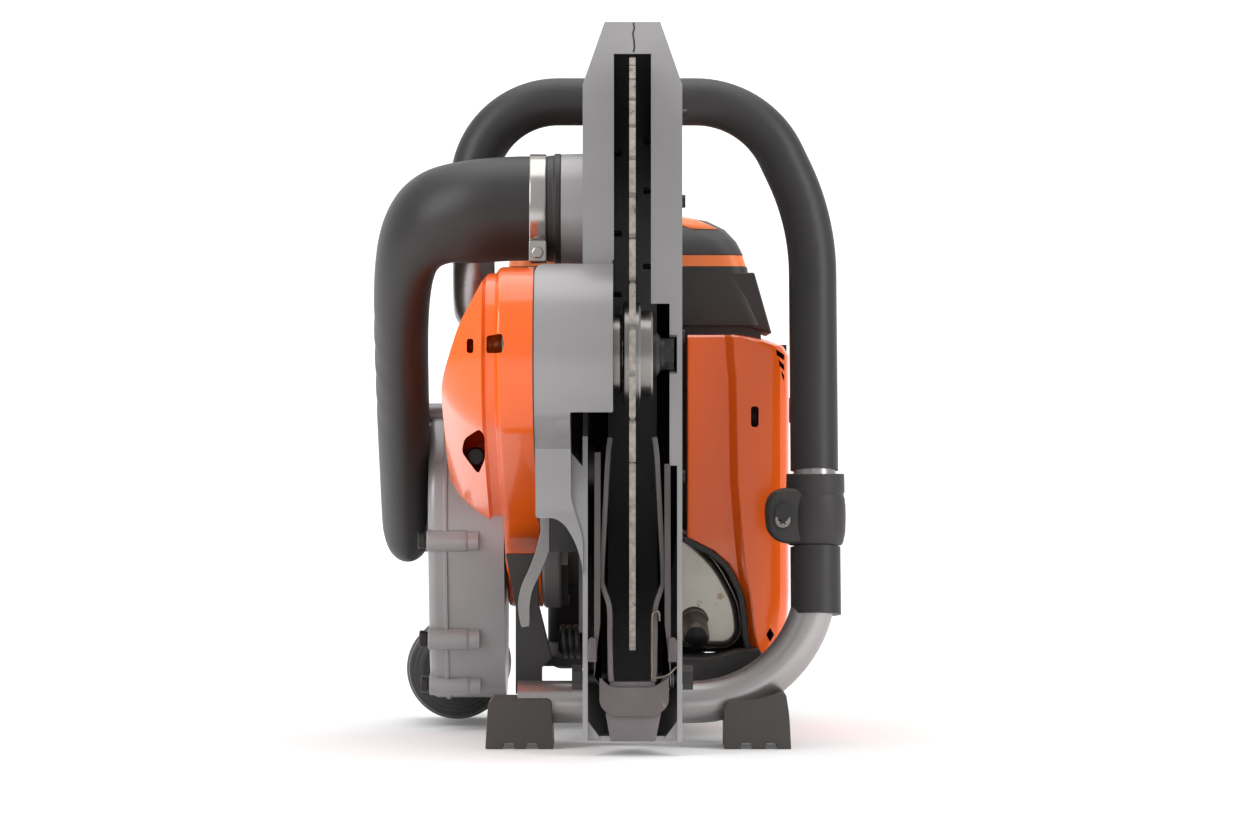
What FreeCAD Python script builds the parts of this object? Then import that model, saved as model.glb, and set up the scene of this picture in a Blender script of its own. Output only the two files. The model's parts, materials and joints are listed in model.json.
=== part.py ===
"""Power cutter with a dust-extracting guard: a hand-held two-stroke disc cutter.

Frame: +Z up, the machine stands on Z = 0 and its blade faces -Y. The blade turns about an axis along X.
Positions inside this file are measured from the blade: x from the blade plane, y from the blade axis
(+y towards the operator) and z from the floor. blade_x and blade_y place the blade in the frame whose
origin is the middle of the machine's box on the floor.
"""

import FreeCAD, Part
import math
import os

import Sketcher
from FreeCAD import Placement, Rotation, Vector

doc = FreeCAD.newDocument("power_cutter")
sheet = doc.addObject("Spreadsheet::Sheet", "dims")

SIZES = {
    "blade_x": (14.0, "blade plane in the frame"),
    "blade_y": (-192.5, "blade axis in the frame"),
    "blade_z": (238.0, "blade axis above the floor"),
    "blade_r": (175.0, "outside radius of the diamond blade"),
    "core_r": (168.0, "steel core radius"),
    "core_w": (2.6, "steel core thickness"),
    "seg_w": (3.6, "segment thickness"),
    "seg_count": (42, "segments round the rim"),
    "seg_gap": (3.6, "gullet between two segments"),
    "bore_r": (12.7, "blade bore, one inch across"),
    "flange_r": (30.5, "clamping flange radius"),
    "crank_y": (265.0, "crank axis behind the blade axis"),
    "crank_z": (138.0, "crank axis above the floor"),
    "stroke": (36.0, "piston stroke"),
    "rod_len": (66.0, "connecting rod, centre to centre"),
    "cyl_bore_r": (25.6, "cylinder bore radius"),
    "case_half": (43.0, "crankcase half width"),
    "arm_in": (45.0, "cutting arm, face towards the blade"),
    "arm_out": (57.0, "cutting arm, face towards the belt"),
    "arm_nose_r": (48.0, "cutting arm radius round the spindle"),
    "arm_tail_r": (60.0, "cutting arm radius round the crank"),
    "belt_in": (60.0, "belt edge nearer the blade"),
    "belt_out": (74.0, "belt edge away from the blade"),
    "belt_deep": (4.0, "belt thickness"),
    "big_pulley_r": (40.0, "driven pulley under the belt"),
    "drum_pulley_r": (20.0, "driving pulley under the belt"),
    "guard_r": (197.0, "guard radius round the blade axis"),
    "guard_half": (29.5, "guard half width"),
    "guard_wall": (3.0, "guard wall"),
    "guard_front": (6.0, "front plane of the guard behind the blade axis"),
    "guard_floor": (8.5, "underside of the guard above the floor"),
    "guard_tail": (43.0, "angle below level where the guard rim runs straight"),
    "crown_half": (16.5, "guard half width at its crown"),
    "crown_deep": (37.0, "depth of the guard's sloping shoulder"),
    "lip_half": (11.0, "half width of the blade slot"),
    "nose_r": (53.0, "guard nose radius round the spindle"),
    "nose_in": (12.0, "guard nose, face towards the blade"),
    "shoe_z": (46.0, "shoe pivot above the floor"),
    "shoe_y": (16.0, "shoe pivot behind the blade axis"),
    "spigot_y": (75.0, "suction spigot behind the blade axis"),
    "spigot_z": (327.0, "suction spigot above the floor"),
    "hose_r": (31.8, "suction hose radius at the guard"),
    "hose_half": (14.7, "suction hose half thickness beside the belt cover"),
    "hose_wall": (3.0, "suction hose wall"),
    "hose_x": (146.4, "suction hose centre beside the belt cover"),
    "fan_in": (81.0, "fan housing, face towards the engine"),
    "fan_split": (118.0, "joint between the two fan housing halves"),
    "fan_out": (129.0, "fan housing, outer face"),
    "fan_wall": (3.0, "fan housing wall"),
    "outlet_r": (25.0, "dust outlet spigot radius"),
    "tube_r": (13.0, "front handle tube radius"),
    "tube_wall": (2.0, "front handle tube wall"),
    "grip_r": (14.7, "front handle grip radius"),
    "handle_top": (396.0, "front handle tube centre at the top"),
    "handle_right": (112.5, "front handle tube centre at its free side"),
    "handle_left": (98.0, "front handle tube centre at the belt side"),
    "pull_elev": (20.0, "starter rope above level, leaning back"),
    "pulley_r": (28.0, "starter rope radius on its pulley"),
    "wall": (3.0, "plastic cover wall"),
    "fit_gap": (0.3, "gap between parts that turn or slide"),
}
for row, (alias, (value, note)) in enumerate(SIZES.items(), start=1):
    sheet.set(f"A{row}", alias)
    sheet.set(f"B{row}", str(value))
    sheet.set(f"C{row}", note)
    sheet.setAlias(f"B{row}", alias)
doc.recompute()


class Size:
    """A size as a number and as the expression that binds a property to the sheet."""

    def __init__(self, value, text):
        self.value = float(value)
        self.text = text

    def __float__(self):
        return self.value

    def __add__(self, other):
        other = size(other)
        return Size(self.value + other.value, f"({self.text} + {other.text})")

    def __sub__(self, other):
        other = size(other)
        return Size(self.value - other.value, f"({self.text} - {other.text})")

    def __mul__(self, other):
        other = size(other)
        return Size(self.value * other.value, f"({self.text} * {other.text})")

    def __truediv__(self, other):
        other = size(other)
        return Size(self.value / other.value, f"({self.text} / {other.text})")

    def __radd__(self, other):
        return size(other) + self

    def __rsub__(self, other):
        return size(other) - self

    def __rmul__(self, other):
        return size(other) * self

    def __neg__(self):
        return Size(-self.value, f"(0 - {self.text})")


def size(value):
    """A Size from a Size or a plain number."""
    if isinstance(value, Size):
        return value
    return Size(value, repr(round(float(value), 6)))


class Sheet:
    """The driving sizes by name, each as a Size read from the spreadsheet."""

    def __getattr__(self, alias):
        return Size(sheet.get(alias), "dims." + alias)


D = Sheet()
NODES = {}
counter = {}


def fresh(name):
    """An unused object name."""
    counter[name] = counter.get(name, 0) + 1
    return f"{name}_{counter[name]}"


def node(label, obj):
    """Keeps obj as the sub-part that is exported under this label."""
    obj.Label = label
    NODES[label] = obj
    return obj


def settle(obj, x, y, z, turn=None):
    """Places obj at a point measured from the blade, bound to the sheet."""
    spot = (D.blade_x + x, D.blade_y + y, size(z))
    base = Vector(*[float(c) for c in spot])
    obj.Placement = Placement(base, turn or Rotation())
    for axis, c in zip("xyz", spot):
        obj.setExpression("Placement.Base." + axis, c.text)
    return obj


def primitive(kind, name, **sizes):
    obj = doc.addObject("Part::" + kind, fresh(name))
    for prop, value in sizes.items():
        obj.setExpression(prop, size(value).text)
    return obj


ALONG = {
    "X": Rotation(Vector(0, 1, 0), 90),
    "Y": Rotation(Vector(1, 0, 0), -90),
    "Z": Rotation(),
}


def box(name, x, y, z, turn=None):
    """A box between two limits on each axis."""
    lengths = [size(b) - a for a, b in (x, y, z)]
    obj = primitive("Box", name, Length=lengths[0], Width=lengths[1], Height=lengths[2])
    return settle(obj, x[0], y[0], z[0], turn)


def rod(name, axis, radius, span, a, b):
    """A cylinder along X, Y or Z over span; a and b are its other two coordinates in X, Y, Z order."""
    obj = primitive("Cylinder", name, Radius=radius, Height=size(span[1]) - span[0])
    spot = {"X": (span[0], a, b), "Y": (a, span[0], b), "Z": (a, b, span[0])}[axis]
    return settle(obj, *spot, turn=ALONG[axis])


def cone(name, axis, radii, span, a, b):
    """A cone along X, Y or Z, as rod."""
    height = size(span[1]) - span[0]
    obj = primitive("Cone", name, Radius1=radii[0], Radius2=radii[1], Height=height)
    spot = {"X": (span[0], a, b), "Y": (a, span[0], b), "Z": (a, b, span[0])}[axis]
    return settle(obj, *spot, turn=ALONG[axis])


def hexagon(name, radius, span, y, z):
    """A hexagonal prism along X."""
    obj = primitive("Prism", name, Circumradius=radius, Height=size(span[1]) - span[0])
    obj.Polygon = 6
    return settle(obj, span[0], y, z, turn=ALONG["X"])


def group(name, *parts):
    obj = doc.addObject("Part::Compound", fresh(name))
    obj.Links = list(parts)
    return obj


def fuse(name, *parts):
    obj = doc.addObject("Part::MultiFuse", fresh(name))
    obj.Shapes = list(parts)
    obj.Refine = True
    return obj


def cut(name, base, *tools):
    obj = doc.addObject("Part::Cut", fresh(name))
    obj.Base = base
    obj.Tool = tools[0] if len(tools) == 1 else group(name + "_tools", *tools)
    obj.Refine = True
    return obj


def common(name, a, b):
    obj = doc.addObject("Part::Common", fresh(name))
    obj.Base, obj.Tool = a, b
    return obj


def pipe(name, axis, outer, inner, span, a, b):
    """A round tube along X, Y or Z."""
    hole = rod(name + "_hole", axis, inner, (size(span[0]) - 1, size(span[1]) + 1), a, b)
    return cut(name, rod(name + "_wall", axis, outer, span, a, b), hole)


def feature(name, shape):
    """A shape made by Part's own functions, measured from the blade."""
    obj = doc.addObject("Part::Feature", fresh(name))
    obj.Shape = Part.makeCompound([shape])
    return settle(obj, 0, 0, 0)


def rounded(name, base, radius, keep):
    """Fillets the edges of base for which keep(edge) is true."""
    doc.recompute()
    chosen = [i for i, e in enumerate(base.Shape.Edges, start=1) if keep(e)]
    obj = doc.addObject("Part::Fillet", fresh(name))
    obj.Base = base
    obj.Edges = [(i, float(radius), float(radius)) for i in chosen]
    return obj


def direction(edge):
    """Which axis a straight edge runs along, or an empty word."""
    if edge.Curve.TypeId != "Part::GeomLine":
        return ""
    d = edge.Curve.Direction
    for axis, c in zip("XYZ", (d.x, d.y, d.z)):
        if abs(abs(c) - 1) < 1e-6:
            return axis
    return ""


def runs(axis):
    """Chooses edges that run along this axis."""
    return lambda e: direction(e) == axis


def soft_box(name, x, y, z, radius, axes="XYZ"):
    """A box with its edges along these axes rounded."""
    return rounded(name, box(name, x, y, z), radius, lambda e: direction(e) in tuple(axes))


# ---------------------------------------------------------------- sketched bodies

PLANES = {"YZ": "YZ_Plane", "XZ": "XZ_Plane", "XY": "XY_Plane"}


def sketch_in(body, plane, offset):
    """A sketch on one of the body's origin planes, moved along that plane's normal."""
    sk = body.newObject("Sketcher::SketchObject", body.Name + "_sketch")
    flat = [f for f in body.Origin.OriginFeatures if f.Role == PLANES[plane]]
    sk.AttachmentSupport = (flat[0], [""])
    sk.MapMode = "FlatFace"
    sk.setExpression("AttachmentOffset.Base.z", size(offset).text)
    return sk


def pin_point(sk, geo, pos, u, v):
    """Ties one point of the sketch to the sheet."""
    for kind, c in (("DistanceX", size(u)), ("DistanceY", size(v))):
        index = sk.addConstraint(Sketcher.Constraint(kind, -1, 1, geo, pos, c.value))
        sk.setExpression(f"Constraints[{index}]", c.text)


def polygon(sk, points):
    """A closed outline of straight lines, every corner tied to the sheet."""
    corners = [Vector(float(u), float(v), 0) for u, v in points]
    count = len(corners)
    lines = [
        sk.addGeometry(Part.LineSegment(corners[i], corners[(i + 1) % count]), False)
        for i in range(count)
    ]
    for i in range(count):
        after = lines[(i + 1) % count]
        sk.addConstraint(Sketcher.Constraint("Coincident", lines[i], 2, after, 1))
        pin_point(sk, lines[i], 1, *points[i])


def circle(sk, u, v, radius):
    geo = sk.addGeometry(
        Part.Circle(Vector(float(u), float(v), 0), Vector(0, 0, 1), float(radius)), False
    )
    pin_point(sk, geo, 3, u, v)
    index = sk.addConstraint(Sketcher.Constraint("Radius", geo, float(radius)))
    sk.setExpression(f"Constraints[{index}]", size(radius).text)


def hull(sk, u1, v1, r1, u2, v2, r2):
    """The outline of a belt round two circles: two arcs joined by tangent lines."""
    a = Vector(float(u1), float(v1), 0)
    b = Vector(float(u2), float(v2), 0)
    ra, rb = float(r1), float(r2)
    heading = math.atan2(b.y - a.y, b.x - a.x)
    lean = math.acos((ra - rb) / (b - a).Length)
    up, down = heading + lean, heading - lean

    def arc(centre, radius, start, end):
        ring = Part.Circle(centre, Vector(0, 0, 1), radius)
        return sk.addGeometry(Part.ArcOfCircle(ring, start, end), False)

    def rim(centre, radius, angle):
        return centre + Vector(math.cos(angle), math.sin(angle), 0) * radius

    near = arc(a, ra, up, down + 2 * math.pi)
    far = arc(b, rb, down, up)
    low = sk.addGeometry(Part.LineSegment(rim(a, ra, down), rim(b, rb, down)), False)
    top = sk.addGeometry(Part.LineSegment(rim(b, rb, up), rim(a, ra, up)), False)
    for first, p, second, q in ((near, 2, low, 1), (low, 2, far, 1), (far, 2, top, 1), (top, 2, near, 1)):
        sk.addConstraint(Sketcher.Constraint("Tangent", first, p, second, q))
    for geo, u, v, r in ((near, u1, v1, r1), (far, u2, v2, r2)):
        pin_point(sk, geo, 3, u, v)
        index = sk.addConstraint(Sketcher.Constraint("Radius", geo, float(r)))
        sk.setExpression(f"Constraints[{index}]", size(r).text)


def body_of(name, plane, offset, draw, length):
    """A PartDesign body: one sketch drawn by draw(sketch), padded along the plane's normal."""
    body = doc.addObject("PartDesign::Body", fresh(name))
    settle(body, 0, 0, 0)
    sk = sketch_in(body, plane, offset)
    draw(sk)
    pad = body.newObject("PartDesign::Pad", body.Name + "_pad")
    pad.Profile = sk
    pad.setExpression("Length", size(length).text)
    doc.recompute()
    return body


def dress(body, kind, value, keep):
    """Adds a PartDesign Fillet or Chamfer on the edges that keep(edge) chooses."""
    base = body.Tip
    names = [f"Edge{i}" for i, e in enumerate(base.Shape.Edges, start=1) if keep(e)]
    obj = body.newObject("PartDesign::" + kind, body.Name + "_" + kind.lower())
    obj.Base = (base, names)
    obj.setExpression("Radius" if kind == "Fillet" else "Size", size(value).text)
    doc.recompute()
    return body


def revolved(name, points):
    """A PartDesign body turned about an axis along X: points are (x, radius) pairs; settle() moves it."""
    body = doc.addObject("PartDesign::Body", fresh(name))
    sk = sketch_in(body, "XY", 0)
    polygon(sk, points)
    turn = body.newObject("PartDesign::Revolution", body.Name + "_turn")
    turn.Profile = sk
    turn.ReferenceAxis = (sk, ["H_Axis"])
    turn.Angle = 360
    doc.recompute()
    return body


# ---------------------------------------------------------------- paths


def bent_path(points, radii):
    """Straight runs joined by tangent arcs: one radius for each inner point."""
    edges = []
    start = points[0]
    for before, corner, after, radius in zip(points, points[1:], points[2:], radii):
        inward = (before - corner).normalize()
        onward = (after - corner).normalize()
        half = inward.getAngle(onward) / 2
        reach = radius / math.tan(half)
        first, last = corner + inward * reach, corner + onward * reach
        middle = corner + (inward + onward).normalize() * (radius / math.sin(half) - radius)
        if (first - start).Length > 1e-6:
            edges.append(Part.LineSegment(start, first).toShape())
        edges.append(Part.Arc(first, middle, last).toShape())
        start = last
    edges.append(Part.LineSegment(start, points[-1]).toShape())
    return Part.Wire(edges)


def swept(path, radius):
    """A round solid along a path."""
    first = path.Edges[0]
    spot = first.valueAt(first.FirstParameter)
    heading = first.tangentAt(first.FirstParameter)
    ring = Part.Wire(Part.makeCircle(radius, spot, heading))
    return path.makePipeShell([ring], True, True)


def coil(radius, wire_r, pitch, turns, base, axis):
    """A helical spring of round wire, its axis starting at base."""
    helix = Part.makeHelix(pitch, pitch * turns, radius)
    ring = Part.Wire(Part.makeCircle(wire_r, Vector(radius, 0, 0), Vector(0, 1, 0)))
    spring = Part.Wire(helix.Edges).makePipeShell([ring], True, True)
    spring.Placement = Placement(base, Rotation(Vector(0, 0, 1), axis))
    return spring


def prism(name, axis, span, points):
    """A PartDesign prism along X, Y or Z over span, from an outline in the other two coordinates."""
    low, high = size(span[0]), size(span[1])
    plane, offset = {"X": ("YZ", low), "Y": ("XZ", -high), "Z": ("XY", low)}[axis]
    return body_of(name, plane, offset, lambda sk: polygon(sk, points), high - low)


def belt_body(name, span, near, far):
    """A PartDesign body padded along X whose outline runs round two circles given as (y, z, r)."""
    return body_of(name, "YZ", span[0], lambda sk: hull(sk, *near, *far), size(span[1]) - span[0])


def spun(name, points, y, z):
    """A revolved body about an axis along X at y, z."""
    return settle(revolved(name, points), 0, y, z)


def part_box(x, y, z):
    """A plain box shape between two limits on each axis."""
    return Part.makeBox(x[1] - x[0], y[1] - y[0], z[1] - z[0], Vector(x[0], y[0], z[0]))


CRANK = (D.crank_y, D.crank_z)
AXLE = (size(0), D.blade_z)

# ---------------------------------------------------------------- blade and its clamping

FLANGE_BORE = 9.6
core_half = D.core_w / 2

disc = spun("blade_core", [
    (-core_half, D.bore_r), (-core_half, D.core_r), (core_half, D.core_r), (core_half, D.bore_r),
], *AXLE)
slots = []
for k in range(14):
    angle = math.radians(360.0 / 14 * k + 4)
    reach = float(D.core_r) - 9
    slot = rod("core_slot", "X", 3.0, (-3, 3), reach * math.cos(angle), D.blade_z + reach * math.sin(angle))
    slots.append(slot)
node("blade_core", cut("core", disc, *slots))


def rim_segments():
    """Diamond segments round the core, one gullet between each two."""
    inner, outer = float(D.core_r), float(D.blade_r)
    width, count = float(D.seg_w), int(float(D.seg_count))
    ring = Part.makeCylinder(outer, width, Vector(-width / 2, 0, 0), Vector(1, 0, 0))
    ring = ring.cut(Part.makeCylinder(inner, width + 2, Vector(-width / 2 - 1, 0, 0), Vector(1, 0, 0)))
    gap = float(D.seg_gap)
    for k in range(count):
        gullet = part_box((-width, width), (-gap / 2, gap / 2), (inner - 2, outer + 2))
        gullet.rotate(Vector(), Vector(1, 0, 0), 360.0 / count * k)
        ring = ring.cut(gullet)
    ring.translate(Vector(0, 0, float(D.blade_z)))
    return ring


node("blade_segments", feature("segments", rim_segments()))

node("flange_inner", spun("flange_inner", [
    (-5.6, FLANGE_BORE), (-5.6, D.flange_r - 2), (-4.6, D.flange_r), (-core_half, D.flange_r),
    (-core_half, D.bore_r - 0.05), (core_half - 0.2, D.bore_r - 0.05), (core_half - 0.2, FLANGE_BORE),
], *AXLE))
node("flange_outer", spun("flange_outer", [
    (core_half, FLANGE_BORE), (core_half, D.flange_r), (3.8, D.flange_r), (4.8, D.flange_r - 1),
    (4.8, 25.7), (11, 25.7), (12, 24.7), (12, FLANGE_BORE),
], *AXLE))
bolt_turned = spun("bolt_turned", [
    (-14, 0), (-14, 4.9), (12, 4.9), (12, 13.4), (14, 13.4), (16, 11), (16.5, 9.5), (19, 9.5), (19, 0),
], *AXLE)
node("blade_bolt", fuse("bolt", bolt_turned, hexagon("bolt_head", 9.2, (19, 24.5), *AXLE)))
spindle = spun("spindle", [
    (-77, 0), (-77, 8), (-58.3, 8), (-58.3, 10), (-5.7, 10), (-5.7, 9.55), (11.4, 9.55), (11.4, 0),
], *AXLE)
node("blade_spindle", cut("spindle_tapped", spindle, rod("spindle_thread", "X", 5, (-16, 12), *AXLE)))
node("driven_pulley", spun("driven_pulley", [
    (-76, 8), (-76, 46.5), (-74.6, 46.5), (-74.6, D.big_pulley_r), (-59.6, D.big_pulley_r),
    (-59.6, 46.5), (-58.4, 46.5), (-58.4, 8),
], *AXLE))
node("bearing_cover", spun("bearing_cover", [
    (-12, 11), (-12, 24.6), (-7.4, 24.6), (-6.2, 23.4), (-6.2, 11),
], *AXLE))

# ---------------------------------------------------------------- guard


def guard_section(shrink):
    """Half the section of the guard above the blade axis, as a face in the plane through that axis."""
    half, crown = float(D.guard_half) - shrink, float(D.crown_half) - shrink * 0.4
    top = float(D.guard_r) - shrink
    shoulder = float(D.guard_r) - float(D.crown_deep) - shrink * 0.4
    corners = [(-half, 0), (-half, shoulder), (-crown, top), (crown, top), (half, shoulder), (half, 0)]
    points = [Vector(x, 0, r) for x, r in corners]
    return Part.Face(Part.makePolygon(points + points[:1]))


def guard_solid(shrink):
    """The guard's outside, or its inside when shrunk by the wall: a half drum with a straight tail."""
    section = guard_section(shrink)
    sweep = 90 + float(D.guard_tail)
    drum = section.revolve(Vector(), Vector(1, 0, 0), -sweep)
    section.rotate(Vector(), Vector(1, 0, 0), -sweep)
    lean = math.radians(float(D.guard_tail))
    tail = section.extrude(Vector(0, -math.sin(lean), -math.cos(lean)) * 260)
    solid = drum.fuse(tail).removeSplitter()
    solid.translate(Vector(0, 0, float(D.blade_z)))
    floor = float(D.guard_floor) + shrink
    front = float(D.guard_front) + shrink
    return solid.common(part_box((-60, 60), (front, 260), (floor, 500)))


def guard_half_shell(side):
    """One half of the guard's shell; side is -1 for the belt side, +1 for the free side."""
    wall, lip = float(D.guard_wall), float(D.lip_half)
    shell = guard_solid(0).cut(guard_solid(wall))
    front, inner = float(D.guard_front), float(D.guard_half) - wall
    shell = shell.cut(part_box((-lip, lip), (front - 1, front + wall + 1), (0, 416)))
    if side > 0:
        shell = shell.cut(part_box((0, 22), (front - 1, front + wall + 1), (0, 268)))
        shell = shell.cut(part_box((0, inner), (front - 1, front + wall + 1), (0, 172)))
    else:
        shell = shell.cut(part_box((-inner, 0), (front - 1, front + wall + 1), (0, 204)))
    limits = (-60, 0) if side < 0 else (0, 60)
    return shell.common(part_box(limits, (0, 260), (0, 500)))


pin_holes = rod("pin_holes", "X", 4, (-40, 40), D.shoe_y, D.shoe_z)
nose = cut("nose_bored", rod("nose", "X", D.nose_r, (-D.arm_in, -D.nose_in), *AXLE),
           rod("nose_bore", "X", 17.5, (-60, 0), *AXLE),
           box("nose_notch", (-36.5, -10), (-60, 60), (170, 204)))
shell_left = cut("shell_left_open", feature("shell_left", guard_half_shell(-1)),
                 rod("nose_clear", "X", D.nose_r - 4, (-40, -D.nose_in), *AXLE),
                 rod("lip_clear", "X", D.nose_r + 3, (-D.nose_in, -5), *AXLE),
                 rod("duct_hole", "X", 29, (-40, -20), D.spigot_y, D.spigot_z), pin_holes)
root = prism("guard_root", "Y", (D.guard_front, D.guard_front + 14), [
    (-57, 176), (-57, 143), (-50, 147), (-43, 152), (-37, 146), (-32, 130), (-29.5, 112), (-27, 112),
    (-27, 168), (-30, 172), (-36.5, 180), (-36.5, 206), (-44.9, 206), (-44.9, 176),
])
node("guard_left", fuse("guard_left_casting", shell_left, nose, root))
pin_holes_right = rod("pin_holes", "X", 4, (-40, 40), D.shoe_y, D.shoe_z)
node("guard_right", cut("shell_right_bored", feature("shell_right", guard_half_shell(1)), pin_holes_right,
                        rod("bolt_clear", "X", 13, (16, 26.4), *AXLE)))

RIM_SCREW_ANGLES = (75, 40, 5, -30)
rim_heads = []
for degrees in RIM_SCREW_ANGLES:
    a = math.radians(degrees)
    reach = D.guard_r - D.crown_deep - 12
    spot = (reach * math.cos(a), D.blade_z + reach * math.sin(a))
    rim_heads.append(rod("guard_screw", "X", 4, (D.guard_half, D.guard_half + 3), *spot))

spigot = spun("spigot", [
    (-62, 25.8), (-62, 28.6), (-43, 28.6), (-43, 33), (-D.guard_half, 33.4), (-D.guard_half, 29),
    (-D.guard_half + 3, 29), (-D.guard_half + 3, 25.8),
], D.spigot_y, D.spigot_z)
node("suction_spigot", spigot)

# ---------------------------------------------------------------- sprung dust shoe

SHOE_OUT, SHOE_IN = 20.0, 16.5
plate = [(2, 22), (34, 22), (38, 60), (30, 150), (24, 178), (12, 182), (8, 170), (-4, 62)]
cheeks = [prism("shoe_cheek", "X", span, plate)
          for span in ((-SHOE_OUT, -SHOE_IN), (SHOE_IN, SHOE_OUT))]
shoe_web = prism("shoe_web", "X", (-SHOE_IN, SHOE_IN), [(-4, 44), (2, 22), (34, 22), (34, 26), (5, 26), (0, 46)])
tongue = prism("shoe_tongue", "X", (-17, 17), [(-2, 8.6), (3, 8.6), (4.5, 26), (0, 26)])
shoe = fuse("shoe_fused", *cheeks, shoe_web, tongue)
node("guard_flap", cut("shoe_bored", shoe, rod("shoe_bore", "X", 4.3, (-30, 30), D.shoe_y, D.shoe_z)))
flap_pins = []
for side in (-1, 1):
    ends = sorted((side * 15.0, side * 34.0))
    head = sorted((side * 29.8, side * 36.0))
    shank = rod("flap_pin", "X", 4, ends, D.shoe_y, D.shoe_z)
    flap_pins.append(fuse("flap_pin_headed", shank, hexagon("flap_head", 7.4, head, D.shoe_y, D.shoe_z)))
node("flap_pins", group("flap_pins", *flap_pins))
coil_shape = coil(7.0, 0.65, 1.5, 2.6, Vector(21.4, float(D.shoe_y), float(D.shoe_z)), Vector(1, 0, 0))
node("flap_spring", feature("flap_spring", coil_shape))

# ---------------------------------------------------------------- cutting arm, bearings and belt drive

arm = belt_body("arm", (-D.arm_out, -D.arm_in), (*AXLE, D.arm_nose_r), (*CRANK, D.arm_tail_r))
arm = dress(arm, "Chamfer", 1.5, lambda e: direction(e) == "" and e.Length > 60)
window = [(70, 236), (92, 230), (150, 208), (160, 196), (150, 168), (90, 186), (70, 202)]
node("cutting_arm", cut("arm_bored", arm, rod("arm_eye", "X", 14, (-60, -40), *AXLE),
                        rod("arm_ring", "X", 42, (-60, -40), *CRANK),
                        prism("arm_window", "X", (-60, -40), window)))


def bearing(span, outer, inner, y, z):
    return pipe("bearing", "X", outer, inner, span, y, z)


node("ball_bearings", group(
    "ball_bearings",
    bearing((-44, -33), 17.5, 10 + D.fit_gap, *AXLE),
    bearing((-24, -13), 17.5, 10 + D.fit_gap, *AXLE),
    bearing((-35, -20), 26, 12.5 + D.fit_gap, *CRANK),
    bearing((20, 35), 26, 12.5 + D.fit_gap, *CRANK),
))

belt_outer = belt_body("belt", (-D.belt_out, -D.belt_in),
                       (*AXLE, D.big_pulley_r + D.belt_deep), (*CRANK, D.drum_pulley_r + D.belt_deep))
belt_hollow = belt_body("belt_hollow", (-D.belt_out - 1, -D.belt_in + 1),
                        (*AXLE, D.big_pulley_r + D.fit_gap), (*CRANK, D.drum_pulley_r + D.fit_gap))
node("drive_belt", cut("belt_loop", belt_outer, belt_hollow))

DRUM_R = 37.0
node("clutch_drum", spun("clutch_drum", [
    (-76, 8 + D.fit_gap), (-76, 26.5), (-74.6, 26.5), (-74.6, D.drum_pulley_r), (-59.6, D.drum_pulley_r),
    (-59.6, DRUM_R), (-46, DRUM_R), (-46, DRUM_R - 2.5), (-57.4, DRUM_R - 2.5), (-57.4, 8 + D.fit_gap),
], *CRANK))


def clutch():
    """Three shoes between the arms of a spider, on the crankshaft."""
    y, z = float(D.crank_y), float(D.crank_z)
    axis = Vector(1, 0, 0)
    shoes = Part.makeCylinder(33.4, 9, Vector(-56, y, z), axis)
    shoes = shoes.cut(Part.makeCylinder(14, 11, Vector(-57, y, z), axis))
    spider = Part.makeCylinder(13.6, 9, Vector(-56, y, z), axis)
    spider = spider.cut(Part.makeCylinder(8, 11, Vector(-57, y, z), axis))
    for k in range(3):
        gap = part_box((-57, -46), (y - 5, y + 5), (z, z + 40))
        arm_bar = part_box((-55, -48), (y - 4.5, y + 4.5), (z + 12, z + 29))
        for shape in (gap, arm_bar):
            shape.rotate(Vector(0, y, z), axis, 120 * k)
        shoes = shoes.cut(gap)
        spider = spider.fuse(arm_bar)
    return Part.makeCompound(shoes.Solids + spider.removeSplitter().Solids)


node("clutch_shoes", feature("clutch", clutch()))

# ---------------------------------------------------------------- engine

PIN_Z = D.crank_z + D.stroke / 2
WRIST_Z = PIN_Z + D.rod_len
CYL_BASE = 190.3

case_drum = rod("case_drum", "X", 52, (-D.case_half, D.case_half), *CRANK)
case_block = box("case_block", (-34, 34), (D.crank_y - 46, D.crank_y + 46), (64, CYL_BASE - 0.3))
case_ring = pipe("case_ring", "X", 58, 44, (-D.arm_in, -D.case_half + 2), *CRANK)
web_room = rod("web_room", "X", 38, (-18.5, 18.5), *CRANK)
seats = rod("bearing_seats", "X", 26, (-50, 50), *CRANK)
rod_room = rod("rod_room", "Z", 28, (D.crank_z, 200), 0, D.crank_y)
case_solid = fuse("case_solid", case_drum, case_block)
case_cut = cut("case_cut", case_solid, web_room, seats, rod_room)
node("crankcase", fuse("case", case_cut, cut("ring_open", case_ring, box("ring_gap", (-60, -30), (0, 216), (0, 300)))))

HEAD_Z = 252.0
barrel = rod("barrel", "Z", 31, (CYL_BASE, HEAD_Z + 8), 0, D.crank_y)
base_flange = box("base_flange", (-33, 33), (D.crank_y - 33, D.crank_y + 33), (CYL_BASE, CYL_BASE + 5))
fins = [soft_box("fin", (-38, 38), (D.crank_y - 41, D.crank_y + 41), (z0, z0 + 2.2), 12, "Z")
        for z0 in (198, 206, 214, 222, 230, 238, 246, 254, 260)]
ports = [rod("port", "Y", 11, (D.crank_y - 42, D.crank_y - 20), 0, 208),
         rod("port", "Y", 10, (D.crank_y + 20, D.crank_y + 42), 0, 208)]
bored = rod("cyl_bore", "Z", D.cyl_bore_r, (CYL_BASE - 1, HEAD_Z), 0, D.crank_y)
plug_hole = rod("plug_hole", "Z", 5, (HEAD_Z - 2, 270), 0, D.crank_y)
node("cylinder", cut("cyl", fuse("cyl_solid", barrel, base_flange, *fins), bored, plug_hole,
                     rod("port_front", "Y", 8, (D.crank_y - 46, D.crank_y), 0, 208),
                     rod("port_rear", "Y", 8, (D.crank_y, D.crank_y + 46), 0, 208)))
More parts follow.
